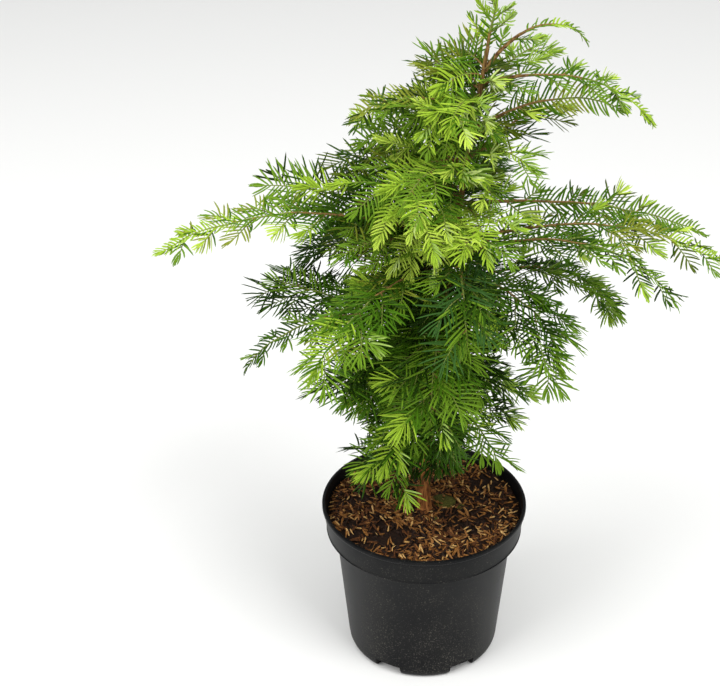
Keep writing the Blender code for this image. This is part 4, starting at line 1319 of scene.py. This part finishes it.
def limb(bm, points, radii, sides, relief, seed):
    """A closed limb along a line, with fibres in relief."""
    rings = []
    for point, radius, (side, lift) in zip(points, radii, frames_along(points, 0)):
        ring = []
        for k in range(sides):
            a = 2 * math.pi * k / sides
            out = math.cos(a) * side + math.sin(a) * lift
            along = Vector((math.cos(a) * 2.4, math.sin(a) * 2.4, point.length / (11 * MM) + seed))
            fibre = abs(noise.fractal(along, 0.9, 2.2, 3))
            ring.append(bm.verts.new(point + out * (radius + relief * (0.25 - fibre))))
        rings.append(ring)
    for a, b in zip(rings, rings[1:]):
        bridge(bm, a, b)
    bm.faces.new(list(reversed(rings[0])))
    bm.faces.new(rings[-1])


def loose_fibres(count):
    """Strips of bark that peel away from the lower trunk, as lines."""
    rng = random.Random(SEED)
    lines = Lines("radius")
    for _ in range(count):
        height = TRUNK_FOOT + FIBRE_REACH * rng.random() ** 1.4
        azimuth = rng.uniform(0, 360)
        length = rng.uniform(7, 18) * MM
        lift = rng.uniform(0.3, 1.8) * MM
        drift = rng.uniform(-25, 25)
        points = []
        for k in range(6):
            t = k / 5
            z = height + length * t
            out = trunk_radius(z) + 0.1 * MM + lift * t * t
            points.append(trunk_centre(z) + out * heading(azimuth + drift * t, 0))
        thick = rng.uniform(0.15, 0.4) * MM
        lines.add(points, radius=[thick * (1 - 0.7 * k / 5) for k in range(6)])
    return lines


def bare_limb(bm, bough, seed):
    """A bough's bare limb, from inside the trunk; it swells to a collar where it leaves it."""
    length = bough.length * MM * bough.bare
    steps = max(8, round(length / LIMB_STEP))
    path = bough_path(bough, 0.0, bough.bare, steps)
    points = wander(path, 0.5 * MM)
    points[-1] = path[-1]
    points.insert(0, points[0] - heading(bough.azimuth, bough.rise) * 2.2 * MM)
    radii = []
    for i in range(len(points)):
        s = i / (len(points) - 1)
        collar = 0.9 * MM * math.exp(-s * length / (3.5 * MM))
        radii.append(BOUGH_FOOT_RADIUS + (BOUGH_TIP_RADIUS - BOUGH_FOOT_RADIUS) * s + collar)
    limb(bm, points, radii, LIMB_SIDES, 0.35 * MM, seed)


def trunk_bark(relief):
    """The trunk with its lobed foot, and with fibres in relief that are deepest low down."""
    bm = bmesh.new()
    rings = []
    for i in range(BARK_RINGS + 1):
        height = TRUNK_FOOT - FOOT_BURIED + (TRUNK_TIP - TRUNK_FOOT + FOOT_BURIED) * i / BARK_RINGS
        centre, radius = trunk_centre(height), trunk_radius(max(height, TRUNK_FOOT))
        age = 1 - i / BARK_RINGS
        depth = relief * (0.25 + 0.9 * age)
        lobe = LOBE_DEPTH * min(1.0, math.exp(-(height - TRUNK_FOOT) / FLARE_HEIGHT))
        ring = []
        for k in range(BARK_SIDES):
            a = 2 * math.pi * k / BARK_SIDES
            # Strips about 1.5 mm wide and 14 mm long, which twist slowly up the trunk
            twist = a + height / (90 * MM)
            strip = Vector((math.cos(twist) * 3.2, math.sin(twist) * 3.2, height / (14 * MM)))
            fibre = abs(noise.fractal(strip, 0.85, 2.2, 4))
            lump = noise.noise(Vector((math.cos(a), math.sin(a), height / (12 * MM))))
            swell = radius + lobe * math.cos(FLARE_LOBES * a)
            r = swell + depth * (0.5 - 1.5 * fibre) + 0.5 * depth * lump
            ring.append(bm.verts.new(centre + Vector((r * math.cos(a), r * math.sin(a), 0))))
        rings.append(ring)
    for a, b in zip(rings, rings[1:]):
        bridge(bm, a, b)
    bm.faces.new(list(reversed(rings[0])))
    bm.faces.new(rings[-1])
    return new_mesh("bark_trunk", bm, 60)


class REDWOOD_OT_bark(bpy.types.Operator):
    """Trunk and bare limbs with their fibrous bark"""

    bl_idname = "redwood.bark"
    bl_label = "Trunk and limbs"

    def execute(self, context):
        settings = context.scene.redwood_bark
        trunk = new_object("bark_trunk", trunk_bark(settings.relief))
        old_bark = fibrous(
            "fibrous redwood bark", settings.groove, settings.ridge, 0.88, 16 * MM, 1.4 * MM, 0.35 * MM,
            settings.young,
        )
        trunk.data.materials.append(old_bark)
        place(trunk, "bark", "trunk")
        fringe = grown("bark_fringe", loose_fibres(settings.fibres).mesh("bark_fringe"), wood_tree(), {
            "Sides": 4, "Step": 2.5 * MM, "Wood": old_bark,
        })
        place(fringe, "bark")

        bm = bmesh.new()
        names = []
        for number, bough in enumerate(BOUGHS):
            if not bough.bare:
                continue
            names.append(bough.name + "_bough")
            bare_limb(bm, bough, number)
        bmesh.ops.recalc_face_normals(bm, faces=bm.faces)
        limbs = new_object("bark_limbs", new_mesh("bark_limbs", bm, 60))
        limbs.data.materials.append(fibrous(
            "young redwood bark", settings.groove, settings.young, 0.8, 2.5 * MM, 2.5 * MM, 0.2 * MM
        ))
        place(limbs, "bark", *names)
        return {"FINISHED"}


class REDWOOD_OT_foliage(bpy.types.Operator):
    """Twigs and needles of every foliage mass"""

    bl_idname = "redwood.foliage"
    bl_label = "Foliage"

    def execute(self, context):
        settings = context.scene.redwood_foliage
        rng = random.Random(SEED)
        stem = leader_stem(LEADER_TWIGS, dealer("new", TRUNK_TIP, rng))
        twigs = grow_mass(LEADER_TWIGS, stem, 0.5 * settings.twig_spacing, rng)
        for number, bough in enumerate(BOUGHS):
            rng = random.Random(SEED + number + 1)
            stem = main_stem(bough, dealer(bough.green, bough.height * MM, rng))
            spacing = settings.twig_spacing * (1.0 if bough.height * MM > LOW_BOUGHS else LOW_SPACING)
            twigs += grow_mass(bough, stem, spacing, rng)
            if bough.bare:
                twigs += limb_shoots(bough, spacing, rng)
        twigs += trunk_shoots(random.Random(SEED))

        needles = {tone: Lines("needle", "angle", "side") for tone in TONES}
        wood = {"brown_twigs": Lines("radius"), "green_shoots": Lines("radius")}
        for twig in twigs:
            lay_needles(twig, needles, settings.needle_angle)
            turn = round(len(twig.points) * twig.woody)
            wood["brown_twigs"].add(twig.points[:turn + 1], radius=twig.radii[:turn + 1])
            wood["green_shoots"].add(twig.points[turn:], radius=twig.radii[turn:])

        # The masses of each green give way to the needles of one tone
        masses = {}
        for bough in (LEADER_TWIGS, *BOUGHS):
            tone = "lime" if bough.green == "new" else bough.green
            masses.setdefault(tone, []).append(bough.name + "_foliage")
        shapes = kit("needle shapes", [
            needle_mesh("needle_%s_%d" % (side, i), hand, bend, droop)
            for hand, side in ((1, "a"), (-1, "b")) for i, (bend, droop) in enumerate(NEEDLE_SHAPES)
        ])
        tree = needle_tree()
        for number, (tone, (slot, youth, top, under)) in enumerate(TONES.items()):
            piece = grown("needles_" + tone, needles[tone].mesh("needles_" + tone), tree, {
                "Needles": shapes, "Width": settings.needle_width * (1 - 0.04 * youth),
                "Pitch": settings.needle_pitch * (1 - 0.25 * youth), "Lift": 0.12 + 0.16 * youth,
                "Seed": 31 + number,
                "Top": needle_skin(tone + " redwood needles", linear(top), 0.45),
                "Underside": needle_skin(tone + " needle undersides", linear(under), 0.62),
            })
            place(piece, slot, *masses.get(tone, ()))
        drop_kit(shapes)
        tree = wood_tree()
        for name, base in (("brown_twigs", settings.twig), ("green_shoots", settings.shoot)):
            dark = tuple(0.45 * v for v in base)
            skin = fibrous(name.replace("_", " ") + " bark", dark, tuple(base), 0.7, 2 * MM, 2 * MM, 0.1 * MM)
            piece = grown(name, wood[name].mesh(name), tree, {"Sides": 5, "Step": 4.5 * MM, "Wood": skin})
            place(piece, "bark")
        return {"FINISHED"}


class REDWOOD_PT_panel(bpy.types.Panel):
    """The plant's pieces and their settings"""

    bl_label = "Potted redwood"
    bl_idname = "REDWOOD_PT_panel"
    bl_space_type = "VIEW_3D"
    bl_region_type = "UI"
    bl_category = "Redwood"

    def draw(self, context):
        for operator, group in PIECES:
            box = self.layout.box()
            settings = getattr(context.scene, operator.bl_idname.replace(".", "_"))
            for name in group.__annotations__:
                box.prop(settings, name)
            box.operator(operator.bl_idname)


# Each operator with its settings, in the order that they run
PIECES = (
    (REDWOOD_OT_stage, StageSettings),
    (REDWOOD_OT_pot, PotSettings),
    (REDWOOD_OT_compost, CompostSettings),
    (REDWOOD_OT_bark, BarkSettings),
    (REDWOOD_OT_foliage, FoliageSettings),
)


def register():
    for operator, group in PIECES:
        bpy.utils.register_class(group)
        bpy.utils.register_class(operator)
        setattr(bpy.types.Scene, operator.bl_idname.replace(".", "_"), PointerProperty(type=group))
    bpy.utils.register_class(REDWOOD_PT_panel)


def unregister():
    bpy.utils.unregister_class(REDWOOD_PT_panel)
    for operator, group in reversed(PIECES):
        delattr(bpy.types.Scene, operator.bl_idname.replace(".", "_"))
        bpy.utils.unregister_class(operator)
        bpy.utils.unregister_class(group)


def main():
    register()
    bpy.ops.redwood.stage()
    bpy.ops.redwood.pot()
    bpy.ops.redwood.compost()
    bpy.ops.redwood.bark()
    bpy.ops.redwood.foliage()


if __name__ == "__main__":
    main()
